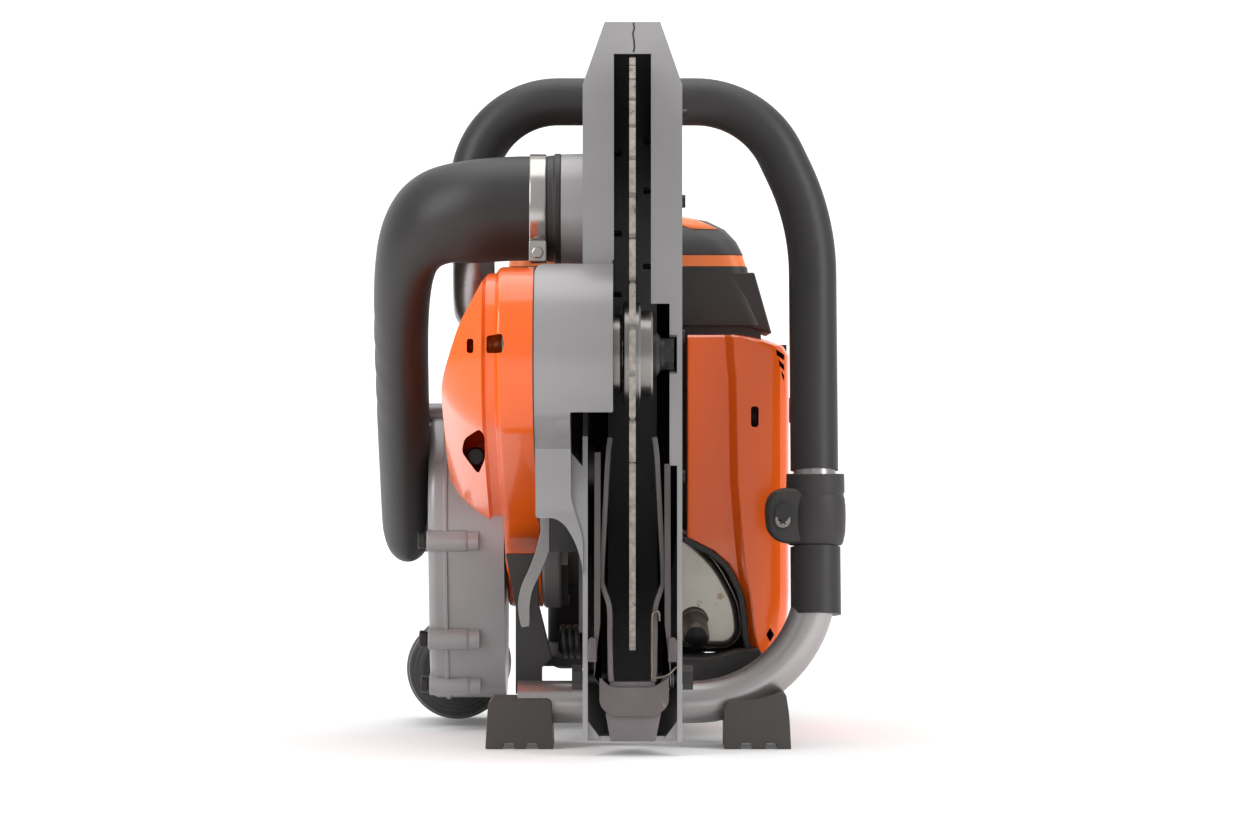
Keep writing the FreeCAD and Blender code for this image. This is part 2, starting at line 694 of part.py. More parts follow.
plug_body = rod("plug_body", "Z", 4.9, (HEAD_Z - 4, 263), 0, D.crank_y)
plug_hex = primitive("Prism", "plug_hex", Circumradius=10, Height=12)
settle(plug_hex, 0, D.crank_y, 262.4)
plug_cap = rod("plug_cap", "Z", 6, (274, 300), 0, D.crank_y)
node("spark_plug", fuse("spark_plug", plug_body, plug_hex, plug_cap))

PISTON_R = D.cyl_bore_r - D.fit_gap
crown = rod("crown", "Z", PISTON_R, (WRIST_Z - 15, WRIST_Z + 24), 0, D.crank_y)
skirt_room = rod("skirt_room", "Z", PISTON_R - 3.5, (WRIST_Z - 16, WRIST_Z + 18), 0, D.crank_y)
wrist_hole = rod("wrist_hole", "X", 6, (-30, 30), D.crank_y, WRIST_Z)
node("piston", cut("piston", crown, skirt_room, wrist_hole))
node("piston_pin", rod("piston_pin", "X", 6, (-21, 21), D.crank_y, WRIST_Z))

small_eye = rod("small_eye", "X", 10, (-6, 6), D.crank_y, WRIST_Z)
big_eye = rod("big_eye", "X", 13, (-6, 6), D.crank_y, PIN_Z)
shank = box("shank", (-4, 4), (D.crank_y - 6, D.crank_y + 6), (PIN_Z, WRIST_Z))
rod_pin = rod("rod_pin", "X", 7, (-7, 7), D.crank_y, PIN_Z)
node("connecting_rod", cut("rod_bored", fuse("rod_solid", small_eye, big_eye, shank, rod_pin),
                           rod("small_bore", "X", 6 + D.fit_gap, (-8, 8), D.crank_y, WRIST_Z)))

shafts = [
    rod("shaft_left", "X", 8, (-112, -36), *CRANK), rod("journal_left", "X", 12.5, (-36, -17.5), *CRANK),
    rod("journal_right", "X", 12.5, (17.5, 36), *CRANK), rod("shaft_right", "X", 8, (36, 66), *CRANK),
]
webs = []
for span in ((-17.8, -7.4), (7.4, 17.8)):
    web = rod("web", "X", 34, span, *CRANK)
    relief = box("web_relief", span, (D.crank_y - 40, D.crank_y - 15), (D.crank_z, D.crank_z + 40))
    relief_b = box("web_relief", span, (D.crank_y + 15, D.crank_y + 40), (D.crank_z, D.crank_z + 40))
    webs.append(cut("web_shaped", web, relief, relief_b))
node("crankshaft", group("crankshaft",
                         fuse("crank_left", shafts[0], shafts[1], webs[0]),
                         fuse("crank_right", webs[1], shafts[2], shafts[3])))

wheel = spun("wheel", [
    (46, 8), (46, 44), (60, 48), (62, 48), (62, 22), (66, 20), (66, 8),
], *CRANK)


def flywheel_vanes():
    """Cooling vanes on the outer face of the flywheel."""
    vanes = []
    for k in range(12):
        vane = part_box((61.8, 66), (-1.2, 1.2), (26, 46))
        vane.rotate(Vector(), Vector(1, 0, 0), 30 * k)
        vane.translate(Vector(0, float(D.crank_y), float(D.crank_z)))
        vanes.append(vane)
    return Part.makeCompound(vanes)


node("flywheel", fuse("flywheel", wheel, feature("vanes", flywheel_vanes())))
coil_box = soft_box("coil_box", (46, 60), (D.crank_y - 18, D.crank_y + 18), (D.crank_z + 56, D.crank_z + 78), 3)
coil_legs = [box("coil_leg", (49, 57), (D.crank_y + y0, D.crank_y + y0 + 7), (D.crank_z + 50, D.crank_z + 58))
             for y0 in (-16, 9)]
node("ignition_coil", fuse("ignition_coil", coil_box, *coil_legs))

# ---------------------------------------------------------------- belt cover

COVER_SECTION = [(-57, 288), (-81, 288), (-95, 262), (-110.5, 204), (-109, 168), (-106, 147), (-93, 133), (-57, 133)]
COVER_INNER = [(-57, 285), (-79, 285), (-92, 260.5), (-107.5, 203.5), (-106, 169), (-103.5, 148.5),
               (-92, 136), (-57, 136)]


def cover_solid(name, shrink, section):
    """The belt cover's outside or inside: a wide nose that tapers, and a flat run back to the crank."""
    front = belt_body(name + "_nose", (-113, -D.arm_out), (*AXLE, 52 - shrink), (135, 187, 52 - shrink))
    taper = prism(name + "_taper", "Y", (-60, 215), section)
    flat = belt_body(name + "_flat", (-80 + shrink, -D.arm_out), (*AXLE, 50 - shrink), (*CRANK, 60 - shrink))
    return fuse(name, common(name + "_tapered", front, taper), flat)


cover_out = cover_solid("cover_out", 0, COVER_SECTION)
cover_in = cover_solid("cover_in", 3, COVER_INNER)
tear = prism("cover_tear", "X", (-114, -84), [(-6, 190), (6, 178), (22, 172), (36, 178), (34, 188), (10, 200)])
node("belt_cover", cut("belt_cover", cover_out, cover_in, tear, rod("cover_shaft", "X", 9.5, (-90, -70), *CRANK)))

# ---------------------------------------------------------------- fan housing and dust outlet

FAN_TOP = (*CRANK, 71.5)
FAN_LOW = (D.crank_y + 8, 76, 56)


def fan_body(name, span, shrink):
    near, far = ((y, z, r - shrink) for y, z, r in (FAN_TOP, FAN_LOW))
    return belt_body(name, span, near, far)


OUT_X, OUT_Z = -114.0, 37.0
BOSS_SPOTS = [(197, 123), (219, 60), (241, 30), (236, 203), (300, 200), (337, 138), (329, 63)]
inner_skin = fan_body("fan_inner", (-D.fan_split, -D.fan_in), 0)
inner_room = fan_body("fan_inner_room", (-D.fan_split - 1, -D.fan_in - D.fan_wall), D.fan_wall)
duct = rod("duct", "Y", D.outlet_r, (290, 372), OUT_X, OUT_Z)
duct_room = rod("duct_room", "Y", D.outlet_r - 3, (270, 380), OUT_X, OUT_Z)
low_bosses = [rod("boss_in", "X", 6.5, (-D.fan_split, -97), y0, z0) for y0, z0 in BOSS_SPOTS]
inner_solid = fuse("fan_inner_solid", inner_skin, *low_bosses)
duct_half = common("duct_inner", duct, box("duct_inner_half", (-D.fan_split, -60), (280, 420), (0, 100)))
node("fan_housing_inner", cut("fan_inner_cut", fuse("fan_inner_duct", inner_solid, duct_half), inner_room,
                              duct_room, rod("fan_eye", "X", 10, (-90, -70), *CRANK)))
outer_skin = fan_body("fan_outer", (-D.fan_out, -D.fan_split), 0)
outer_skin = dress(outer_skin, "Fillet", 5, lambda e: abs(e.CenterOfMass.x + float(D.fan_out)) < 0.5 and e.Length > 20)
outer_room = fan_body("fan_outer_room", (-D.fan_out + D.fan_wall, -D.fan_split + 1), D.fan_wall)
high_bosses = [rod("boss_out", "X", 6.5, (-129.5, -D.fan_split), y0, z0) for y0, z0 in BOSS_SPOTS]
duct_b = rod("duct", "Y", D.outlet_r, (290, 372), OUT_X, OUT_Z)
duct_outer = common("duct_outer", duct_b, box("duct_outer_half", (-150, -D.fan_split), (280, 420), (0, 100)))
duct_room_b = rod("duct_room", "Y", D.outlet_r - 3, (270, 380), OUT_X, OUT_Z)
node("fan_housing_outer", cut("fan_outer_cut", fuse("fan_outer_solid", outer_skin, duct_outer, *high_bosses),
                              outer_room, duct_room_b, rod("fan_inlet", "X", 24, (-140, -110), *CRANK)))
fan_heads = [rod("fan_screw", "X", 4.5, (-132.6, -129.6), y0, z0) for y0, z0 in BOSS_SPOTS]


def impeller():
    """A disc with eight leaning vanes and a hub, on the crankshaft."""
    y, z = float(D.crank_y), float(D.crank_z)
    axis = Vector(1, 0, 0)
    wheel_shape = Part.makeCylinder(56, 2.4, Vector(-90, y, z), axis)
    wheel_shape = wheel_shape.fuse(Part.makeCylinder(13, 26, Vector(-113, y, z), axis))
    for k in range(8):
        vane = part_box((-113, -89), (y - 1.2, y + 1.2), (z + 14, z + 55))
        vane.rotate(Vector(0, y, z + 34), axis, 25)
        vane.rotate(Vector(0, y, z), axis, 45 * k)
        wheel_shape = wheel_shape.fuse(vane)
    wheel_shape = wheel_shape.common(Part.makeCylinder(56, 60, Vector(-130, y, z), axis))
    return wheel_shape.cut(Part.makeCylinder(8, 60, Vector(-130, y, z), axis)).removeSplitter()


node("fan_impeller", feature("impeller", impeller()))
sleeve = rod("sleeve", "Y", 33, (338, 396), OUT_X, OUT_Z)
sleeve = rounded("sleeve_soft", sleeve, 4, lambda e: e.Length > 100)
ribs = [pipe("sleeve_groove", "Y", 34, 31, (y0, y0 + 4), OUT_X, OUT_Z) for y0 in (352, 364, 376)]
node("dust_outlet", cut("dust_sleeve", sleeve, rod("sleeve_seat", "Y", D.outlet_r, (330, 372.2), OUT_X, OUT_Z),
                        rod("sleeve_bore", "Y", D.outlet_r - 1, (370, 400), OUT_X, OUT_Z), *ribs))

# ---------------------------------------------------------------- suction hose


def oval_wire(centre, heading, across, half_across, half_other):
    """An oval round centre, at right angles to heading; half_across is measured along across."""
    third = heading.cross(across)
    count = 16
    points = []
    for k in range(count):
        a = 2 * math.pi * k / count
        points.append(centre + across * (half_across * math.cos(a)) + third * (half_other * math.sin(a)))
    curve = Part.BSplineCurve()
    curve.interpolate(points, PeriodicFlag=True)
    return Part.Wire([curve.toShape()])


def hose_skin():
    """The hose's outside: round at the guard, turned down and flattened beside the belt cover."""
    y0, z0 = float(D.spigot_y), float(D.spigot_z)
    y1, z1 = float(D.crank_y), float(D.crank_z)
    radius, flat = float(D.hose_r), float(D.hose_half)
    run = Vector(0, y1 - y0, z1 - z0)
    length = run.Length
    run.normalize()
    across = Vector(0, -run.z, run.y)
    left = Vector(-1, 0, 0)
    turn_x = 94.0
    bend = float(D.hose_x) - turn_x
    start = Vector(-turn_x, y0, z0)
    rounds = [(Vector(-43, y0, z0), left, radius, radius), (Vector(-68, y0, z0), left, radius, radius)]
    for degrees, wide, other in ((0, radius, radius), (30, radius, radius - 3), (60, radius + 1, radius - 9),
                                 (90, radius + 2, flat + 4)):
        a = math.radians(degrees)
        inward = (other - flat) * math.sin(a) ** 2
        spot = start + left * (bend * math.sin(a) - inward) + run * (bend * (1 - math.cos(a)))
        rounds.append((spot, left * math.cos(a) + run * math.sin(a), wide, other))
    for share in (0.42, 0.6, 0.8, 1.0):
        rounds.append((Vector(-float(D.hose_x), y0, z0) + run * (length * share), run, 33, flat))
    wires = [oval_wire(spot, heading, across, wide, other) for spot, heading, wide, other in rounds]
    return Part.makeLoft(wires, True, False)


def suction_hose():
    """The hose with its two mouths bored; the long middle stays solid."""
    y0, z0 = float(D.spigot_y), float(D.spigot_z)
    y1, z1 = float(D.crank_y), float(D.crank_z)
    wall, flat = float(D.hose_wall), float(D.hose_half)
    along = Vector(1, 0, 0)
    end = Part.makeCylinder(30, 2 * flat, Vector(-float(D.hose_x) - flat, y1, z1), along)
    end = end.makeFillet(10.0, end.Edges)
    neck_from = -float(D.hose_x) + flat - 4
    neck = Part.makeCylinder(24, abs(neck_from) - 126.2, Vector(neck_from, y1, z1), along)
    solid = hose_skin().fuse(end.fuse(neck))
    mouth = Part.makeCylinder(float(D.hose_r) - wall - 0.2, 30, Vector(-64, y0, z0), along)
    inlet = Part.makeCylinder(21, 22, Vector(-146, y1, z1), along)
    return solid.cut(mouth).cut(inlet)


node("suction_hose", feature("suction_hose", suction_hose()))
clamp_band = pipe("clamp_band", "X", D.hose_r + 1.1, D.hose_r + 0.05, (-62, -52), D.spigot_y, D.spigot_z)
clamp_box = box("clamp_box", (-62.5, -51.5), (D.spigot_y - 16, D.spigot_y - 2),
                (D.spigot_z - D.hose_r - 6, D.spigot_z - D.hose_r + 2))
clamp_hollow = rod("clamp_hollow", "X", D.hose_r + 0.05, (-70, -40), D.spigot_y, D.spigot_z)
node("hose_clamp", cut("clamp", fuse("clamp_solid", clamp_band, clamp_box), clamp_hollow))

# ---------------------------------------------------------------- front handle and feet

TUBE_Y0, TUBE_Y1, TUBE_LOW = 95.0, 143.0, 27.0
TOP, RIGHT, LEFT = float(D.handle_top), float(D.handle_right), -float(D.handle_left)


def leg_y(z):
    """How far behind the blade axis the leaning handle is at this height."""
    return TUBE_Y0 + (TUBE_Y1 - TUBE_Y0) * (z - TUBE_LOW) / (TOP - TUBE_LOW)


def leg(x, z):
    return Vector(x, leg_y(z), z)


FOOT_END = leg(-70, TUBE_LOW)
LOW_CORNER = leg(RIGHT, TUBE_LOW)
HIGH_CORNER = leg(RIGHT - 1.5, 322)
TOP_RIGHT, TOP_LEFT = leg(76, TOP), leg(LEFT, TOP)
LEFT_DROP = leg(LEFT, 268)
REAR_END = Vector(LEFT, 362, 262)
loop = bent_path([FOOT_END, LOW_CORNER, HIGH_CORNER, TOP_RIGHT, TOP_LEFT, LEFT_DROP, REAR_END],
                 [75, 150, 58, 52, 32])
grip_path = bent_path([leg(RIGHT - 0.9, 168), HIGH_CORNER, TOP_RIGHT, TOP_LEFT, leg(LEFT, 338)], [150, 58, 52])
sleeve_path = Part.Wire(Part.LineSegment(leg(RIGHT - 0.3, 80), leg(RIGHT - 0.5, 121)).toShape())
tube_radius, tube_bore = float(D.tube_r), float(D.tube_r) - float(D.tube_wall)
tube_solid = swept(loop, tube_radius)
node("front_handle", feature("front_handle", tube_solid.cut(swept(loop, tube_bore))))
node("handle_grip", feature("handle_grip", swept(grip_path, float(D.grip_r)).cut(tube_solid)))
node("handle_sleeve", feature("handle_sleeve", swept(sleeve_path, 15.4).cut(tube_solid)))
clamp_y = leg_y(143)
clamp_body = soft_box("handle_clamp", (86, 131), (clamp_y - 20, clamp_y + 20), (122, 166), 9)
node("handle_clamp", cut("handle_clamp_bored", clamp_body, feature("tube_in_clamp", tube_solid)))
clamp_head = rod("clamp_screw", "Y", 5, (clamp_y - 22, clamp_y - 20.05), 92, 143)
node("cover_screws", group("cover_screws", *rim_heads, *fan_heads, clamp_head))


def foot(name, x, top, notch):
    block = soft_box(name, x, (68, 122), (0, top), 3, "Z")
    grooves_cut = [box(name + "_groove", (x0, x0 + 6), (60, 130), (-1, 1.6)) for x0 in notch]
    return cut(name + "_cut", block, feature(name + "_tube", tube_solid), *grooves_cut)


node("foot_left", foot("foot_left", (-89, -48), 30, (-80, -66)))
node("foot_right", foot("foot_right", (55.5, 96), 34, (64, 80)))

# ---------------------------------------------------------------- frame under the engine

brace = prism("brace", "Y", (96, 110), [
    (-57, 131), (-45, 131), (-52, 108), (-61, 94), (-62, 72), (-68, 72), (-68, 98), (-60, 116),
])
node("support_arm", brace)
pan = box("pan", (-62, 44), (150, 352), (46, 52))
upright = prism("upright", "Y", (126, 156), [
    (-72, 30.2), (-56, 30.2), (-56, 46), (-50, 52), (-58, 84), (-59, 116), (-78, 116), (-72, 84),
])
hook = prism("shield", "Y", (124, 212), [(31, 34), (66, 24), (76, 34), (77, 56), (72, 56), (64, 38), (44, 42), (43, 50), (31, 50)])
node("cradle", fuse("cradle", pan, upright, hook))


def springs():
    """Anti-vibration springs between the engine and the frame that carries the handles."""
    side = coil(9.0, 1.6, 4.0, 3.0, Vector(-45, 138, 62), Vector(1, 0, 0))
    front = coil(9.0, 1.6, 3.9, 2.2, Vector(20, 235, 53.8), Vector(0, 0, 1))
    back = coil(9.0, 1.6, 3.9, 2.2, Vector(-20, 295, 53.8), Vector(0, 0, 1))
    return Part.makeCompound([side, front, back])


node("vibration_springs", feature("springs", springs()))

# ---------------------------------------------------------------- tank and rear handle

HANDLE_X = 5.0
TRIGGER_PIVOT, LOCK_PIVOT = (422.0, 201.0), (424.0, 217.0)
PIVOT_R, PIVOT_PLAY = 2.0, 0.06
tank = soft_box("tank", (-56, 48), (353, 432), (34, 150), 9)
tank_room = soft_box("tank_room", (-52, 44), (357, 428), (38, 146), 6)
lug = box("tank_lug", (-112, -50), (352, 372), (100, 248))
lug_trim = box("lug_trim", (-114, -84), (340, 380), (98, 238))
rear_path = bent_path(
    [Vector(HANDLE_X, 392, 130), Vector(HANDLE_X, 384, 216), Vector(HANDLE_X, 546, 196),
     Vector(HANDLE_X, 538, 56), Vector(HANDLE_X, 424, 48)], [30, 26, 26])
bar = feature("rear_bar", swept(rear_path, 14))
slot = box("trigger_slot", (HANDLE_X - 4.5, HANDLE_X + 4.5), (412, 486), (170, 245))
fillers = rod("filler_neck", "X", 20, (44, 60), 398, 104)
filler_room = rod("filler_room", "X", 15, (40, 70), 398, 104)
tube_socket = feature("tube_socket", tube_solid)
rear_solid = fuse("rear_solid", tank, bar, fillers, lug)
rear_hollow = cut("rear_hollow", rear_solid, tank_room, slot, filler_room, lug_trim, tube_socket)
pivot_pins = [rod("pivot_pin", "X", PIVOT_R, (HANDLE_X - 8, HANDLE_X + 8), *pivot)
              for pivot in (TRIGGER_PIVOT, LOCK_PIVOT)]
node("rear_handle", fuse("rear_handle", rear_hollow, *pivot_pins))
node("fuel_cap", fuse("fuel_cap", rod("cap_disc", "X", 22, (60.3, 70), 398, 104),
                      rod("cap_plug", "X", 14.5, (46, 61), 398, 104)))
HANDLE_SPAN = (HANDLE_X - 3.7, HANDLE_X + 3.7)
trigger_plate = prism("throttle_trigger", "X", HANDLE_SPAN, [
    (420, 205), (464, 200), (468, 188), (456, 176), (440, 172), (430, 182), (420, 194),
])
trigger_solid = fuse("trigger", trigger_plate, rod("trigger_eye", "X", 5, HANDLE_SPAN, *TRIGGER_PIVOT))
node("throttle_trigger", cut("trigger_bored", trigger_solid,
                             rod("trigger_bore", "X", PIVOT_R + PIVOT_PLAY, (-10, 20), *TRIGGER_PIVOT)))
lock_plate = prism("throttle_lock", "X", HANDLE_SPAN, [
    (424, 213), (476, 214), (482, 218), (480, 226), (440, 231), (424, 229),
])
lock_solid = fuse("lock", lock_plate, rod("lock_eye", "X", 5, HANDLE_SPAN, *LOCK_PIVOT))
node("throttle_lock", cut("lock_bored", lock_solid,
                          rod("lock_bore", "X", PIVOT_R + PIVOT_PLAY, (-10, 20), *LOCK_PIVOT)))
node("stop_switch", soft_box("stop_switch", (22, 30), (392, 404), (152, 162), 2))
node("choke_knob", rod("choke_knob", "Y", 8, (398.3, 410), 40, 286))

# ---------------------------------------------------------------- starter

FRONT_SHAPE = [(33, 252), (60, 251), (90, 247), (97, 240), (97, 88), (90, 62), (76, 58), (72, 84), (57, 112), (33, 126)]
FRONT_ROOM = [(36, 249), (60, 248), (88.5, 244.4), (94, 238.5), (94, 89), (88, 64.5), (79, 61.5), (75, 86), (59, 115),
              (36, 128.5)]
REAR_SHAPE = [(45, 252), (60, 251), (90, 247), (97, 240), (97, 88), (90, 62), (45, 62)]
REAR_ROOM = [(44, 249), (60, 248), (88.5, 244.4), (94, 238.5), (94, 89), (88, 65), (44, 65)]
starter_out = fuse("starter_out", prism("starter_front", "Y", (160, 213), FRONT_SHAPE),
                   prism("starter_rear", "Y", (213, 345), REAR_SHAPE))
starter_in = fuse("starter_in", prism("starter_room_front", "Y", (163, 216), FRONT_ROOM),
                  prism("starter_room_rear", "Y", (215, 342), REAR_ROOM))
PULL_X = 77.0
lift = math.radians(float(D.pull_elev))
pull_dir = Vector(0, math.cos(lift), math.sin(lift))
tangent = Vector(PULL_X, float(D.crank_y), float(D.crank_z)) + Vector(0, -pull_dir.z, pull_dir.y) * float(D.pulley_r)
exit_run = (345 - tangent.y) / pull_dir.y


def along_pull(radius, start, end):
    return Part.makeCylinder(radius, end - start, tangent + pull_dir * start, pull_dir)


rope_hole = feature("rope_hole", along_pull(3.5, 60, exit_run + 30))
oval_hole = box("oval_hole", (71.5, 76.5), (150, 170), (196, 208))
vents = [box("vent", (84, 96), (150, 170), (z0, z0 + 3)) for z0 in (226, 233, 240)]
intake = [box("intake", (90, 100), (D.crank_y - 34, D.crank_y + 34), (D.crank_z + z0, D.crank_z + z0 + 5))
          for z0 in (-38, -26, -14, 10, 22, 34)]
starter_shell = cut("starter_shell", starter_out, starter_in, rope_hole, oval_hole, *vents, *intake)
node("starter_cover", fuse("starter_cover", starter_shell, rod("starter_post", "X", 5, (67, 95.5), *CRANK)))
node("starter_pulley", spun("starter_pulley", [
    (69, 5.3), (69, 33), (71, 33), (73, D.pulley_r - 2), (81, D.pulley_r - 2), (83, 33), (85, 33), (85, 5.3),
], *CRANK))
grip_shape = Part.makeCylinder(12, 17, tangent + pull_dir * (exit_run + 8), pull_dir)
grip_bar = Part.makeCylinder(8.5, 62, Vector(PULL_X - 31, 0, 0) + Vector(0, *list(
    tangent + pull_dir * (exit_run + 24))[1:]), Vector(1, 0, 0))
grip_bar = grip_bar.makeFillet(5, grip_bar.Edges)
rope = along_pull(2.0, 6, exit_run + 20)
node("starter_grip", feature("starter_grip", grip_shape.fuse(grip_bar).cut(along_pull(2.0, 0, exit_run + 20))))
node("starter_rope", feature("starter_rope", rope))

# ---------------------------------------------------------------- top cover, filter and carburettor

top_block = soft_box("top_block", (-80, 68), (202, 398), (253, 330), 20, "YZ")
top_block_in = soft_box("top_block_in", (-77, 65), (205, 395), (250, 327), 17, "YZ")
hood_hole = rod("plug_window", "Z", 14, (310, 340), 0, D.crank_y)
skirt = prism("top_skirt", "Y", (205, 340), [(60, 258.5), (88, 258.5), (74, 300), (60, 300)])
node("top_cover", cut("top_cover", fuse("top_solid", top_block, skirt), top_block_in,
                      box("skirt_room", (50, 69), (208, 337), (250, 297)), hood_hole))
node("air_filter", cut("air_filter", soft_box("filter_block", (-58, 50), (322, 388), (256, 312), 6),
                       rod("filter_eye", "Y", 12, (300, 350), 0, 276)))
carb_block = soft_box("carb_block", (-22, 22), (322, 350), (186, 230), 3)
carb_neck = rod("carb_neck", "Y", 14, (308, 322), 0, 208)
carb_elbow = rod("carb_elbow", "Z", 13, (230, 255.8), 0, 336)
node("carburettor", cut("carburettor", fuse("carb_solid", carb_block, carb_neck, carb_elbow),
                        rod("carb_bore", "Y", 9, (300, 345), 0, 208)))

# ---------------------------------------------------------------- muffler

muffler_low = prism("muffler_low", "Y", (177, 209), [
    (-42, 60), (-44, 80), (-44, 135), (26, 136), (31, 122), (52, 105), (66, 82), (69, 60), (60, 56), (-40, 56),
])
muffler_top = soft_box("muffler_top", (-26, 26), (198.5, 209), (130, 224), 3)
port_neck = rod("port_neck", "Y", 12, (208, D.crank_y - 42.2), 0, 208)
stub_dir = Vector(0.05, -0.93, -0.36).normalize()
stub_at = Vector(38.5, 182, 70)
stub = Part.makeCylinder(8.5, 26, stub_at, stub_dir).cut(Part.makeCylinder(7, 40, stub_at - stub_dir * 2, stub_dir))
node("muffler", fuse("muffler", muffler_low, muffler_top, port_neck, feature("exhaust_stub", stub)))

# ---------------------------------------------------------------- export

doc.recompute()
problems = []
for obj in doc.Objects:
    if "Invalid" in obj.State or "Error" in obj.State:
        problems.append(f"{obj.Label}: {obj.State}")
os.makedirs("parts", exist_ok=True)
for label, obj in NODES.items():
    shape = obj.Shape
    if shape.isNull() or not shape.isValid() or not shape.Solids:
        problems.append(f"{label}: no valid solid")
        continue
    shape.exportStep(f"parts/{label}.step")
if problems:
    raise SystemExit("\n".join(problems))
print(len(NODES), "sub-parts")
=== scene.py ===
"""Power cutter with a dust-extracting guard: looks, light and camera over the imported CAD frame."""

import json
import math

import bmesh
import bpy
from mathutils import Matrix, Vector


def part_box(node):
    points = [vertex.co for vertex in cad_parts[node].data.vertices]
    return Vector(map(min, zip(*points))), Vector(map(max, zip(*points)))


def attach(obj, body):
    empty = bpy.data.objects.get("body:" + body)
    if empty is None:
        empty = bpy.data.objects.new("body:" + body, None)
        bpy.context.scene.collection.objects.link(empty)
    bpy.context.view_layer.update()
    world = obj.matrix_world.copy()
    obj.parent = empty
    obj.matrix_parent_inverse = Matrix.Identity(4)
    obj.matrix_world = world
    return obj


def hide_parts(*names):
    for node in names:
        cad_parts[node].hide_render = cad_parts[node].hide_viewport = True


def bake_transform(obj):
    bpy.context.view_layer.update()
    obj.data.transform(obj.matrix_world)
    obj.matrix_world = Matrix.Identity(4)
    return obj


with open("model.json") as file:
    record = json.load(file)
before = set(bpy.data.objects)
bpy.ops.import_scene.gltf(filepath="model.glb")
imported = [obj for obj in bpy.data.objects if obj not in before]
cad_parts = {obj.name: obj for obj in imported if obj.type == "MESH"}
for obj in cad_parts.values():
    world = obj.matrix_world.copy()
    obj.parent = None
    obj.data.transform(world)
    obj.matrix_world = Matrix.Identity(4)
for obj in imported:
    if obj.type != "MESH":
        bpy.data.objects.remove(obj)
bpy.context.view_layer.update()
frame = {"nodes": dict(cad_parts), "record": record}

NODES = frame["nodes"]
disc_low, disc_high = (Vector(c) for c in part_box("blade_core"))
DISC = (disc_low + disc_high) / 2
CAMERA_DISTANCE, CAMERA_HEIGHT = 3000.0, 202.0  # in front of the disc's axis, and above the floor


def at(x, y, z):
    """A point given in millimetres: x from the disc's plane, y behind its axis, z from the floor."""
    return Vector((DISC.x + x / 1000, DISC.y + y / 1000, z / 1000))


# ------------------------------------------------------------------ materials


def ramp_between(nodes, low, high):
    """A colour ramp from low to high, both (position, colour)."""
    ramp = nodes.new("ShaderNodeValToRGB")
    for element, (place, colour) in zip(ramp.color_ramp.elements, (low, high)):
        element.position = place
        element.color = (*colour, 1)
    return ramp


def shade(colour, factor):
    return tuple(min(1.0, c * factor) for c in colour)


def surface(name, colour, rough=0.5, metal=0.0, coat=0.0, vary=0.12, grain=900.0, bump=0.1, wear=None,
            blotch=14.0, specular=0.5):
    """A painted, moulded or cast surface: blotchy colour, fine grain, uneven gloss and optional wear marks."""
    mat = bpy.data.materials.new(name)
    mat.use_nodes = True
    nodes, links = mat.node_tree.nodes, mat.node_tree.links
    shader = nodes["Principled BSDF"]
    shader.inputs["Metallic"].default_value = metal
    shader.inputs["Coat Weight"].default_value = coat
    shader.inputs["Coat Roughness"].default_value = 0.06
    shader.inputs["Specular IOR Level"].default_value = specular
    where = nodes.new("ShaderNodeTexCoord")

    cloud = nodes.new("ShaderNodeTexNoise")
    cloud.inputs["Scale"].default_value = blotch
    cloud.inputs["Detail"].default_value = 6
    links.new(where.outputs["Object"], cloud.inputs["Vector"])
    tint = ramp_between(nodes, (0.3, shade(colour, 1 - vary)), (0.7, shade(colour, 1 + vary)))
    links.new(cloud.outputs["Fac"], tint.inputs["Fac"])
    base = tint.outputs["Color"]

    fine = nodes.new("ShaderNodeTexNoise")
    fine.inputs["Scale"].default_value = grain
    fine.inputs["Detail"].default_value = 3
    links.new(where.outputs["Object"], fine.inputs["Vector"])

    dull = nodes.new("ShaderNodeMapRange")
    dull.inputs["To Min"].default_value = max(0.02, rough - 0.07)
    dull.inputs["To Max"].default_value = min(1.0, rough + 0.07)
    links.new(cloud.outputs["Fac"], dull.inputs["Value"])
    gloss = dull.outputs["Result"]

    if wear:
        streak = nodes.new("ShaderNodeTexNoise")
        streak.inputs["Scale"].default_value = 65
        streak.inputs["Detail"].default_value = 9
        streak.inputs["Roughness"].default_value = 0.72
        links.new(where.outputs["Object"], streak.inputs["Vector"])
        mask = nodes.new("ShaderNodeMapRange")
        mask.inputs["From Min"].default_value = wear[1]
        mask.inputs["From Max"].default_value = wear[1] + 0.06
        links.new(streak.outputs["Fac"], mask.inputs["Value"])
        mix = nodes.new("ShaderNodeMix")
        mix.data_type = "RGBA"
        links.new(mask.outputs["Result"], mix.inputs["Factor"])
        links.new(base, mix.inputs["A"])
        mix.inputs["B"].default_value = (*wear[0], 1)
        base = mix.outputs["Result"]
    links.new(base, shader.inputs["Base Color"])
    links.new(gloss, shader.inputs["Roughness"])

    lift = nodes.new("ShaderNodeBump")
    lift.inputs["Strength"].default_value = bump
    lift.inputs["Distance"].default_value = 0.0004
    links.new(fine.outputs["Fac"], lift.inputs["Height"])
    links.new(lift.outputs["Normal"], shader.inputs["Normal"])
    return mat


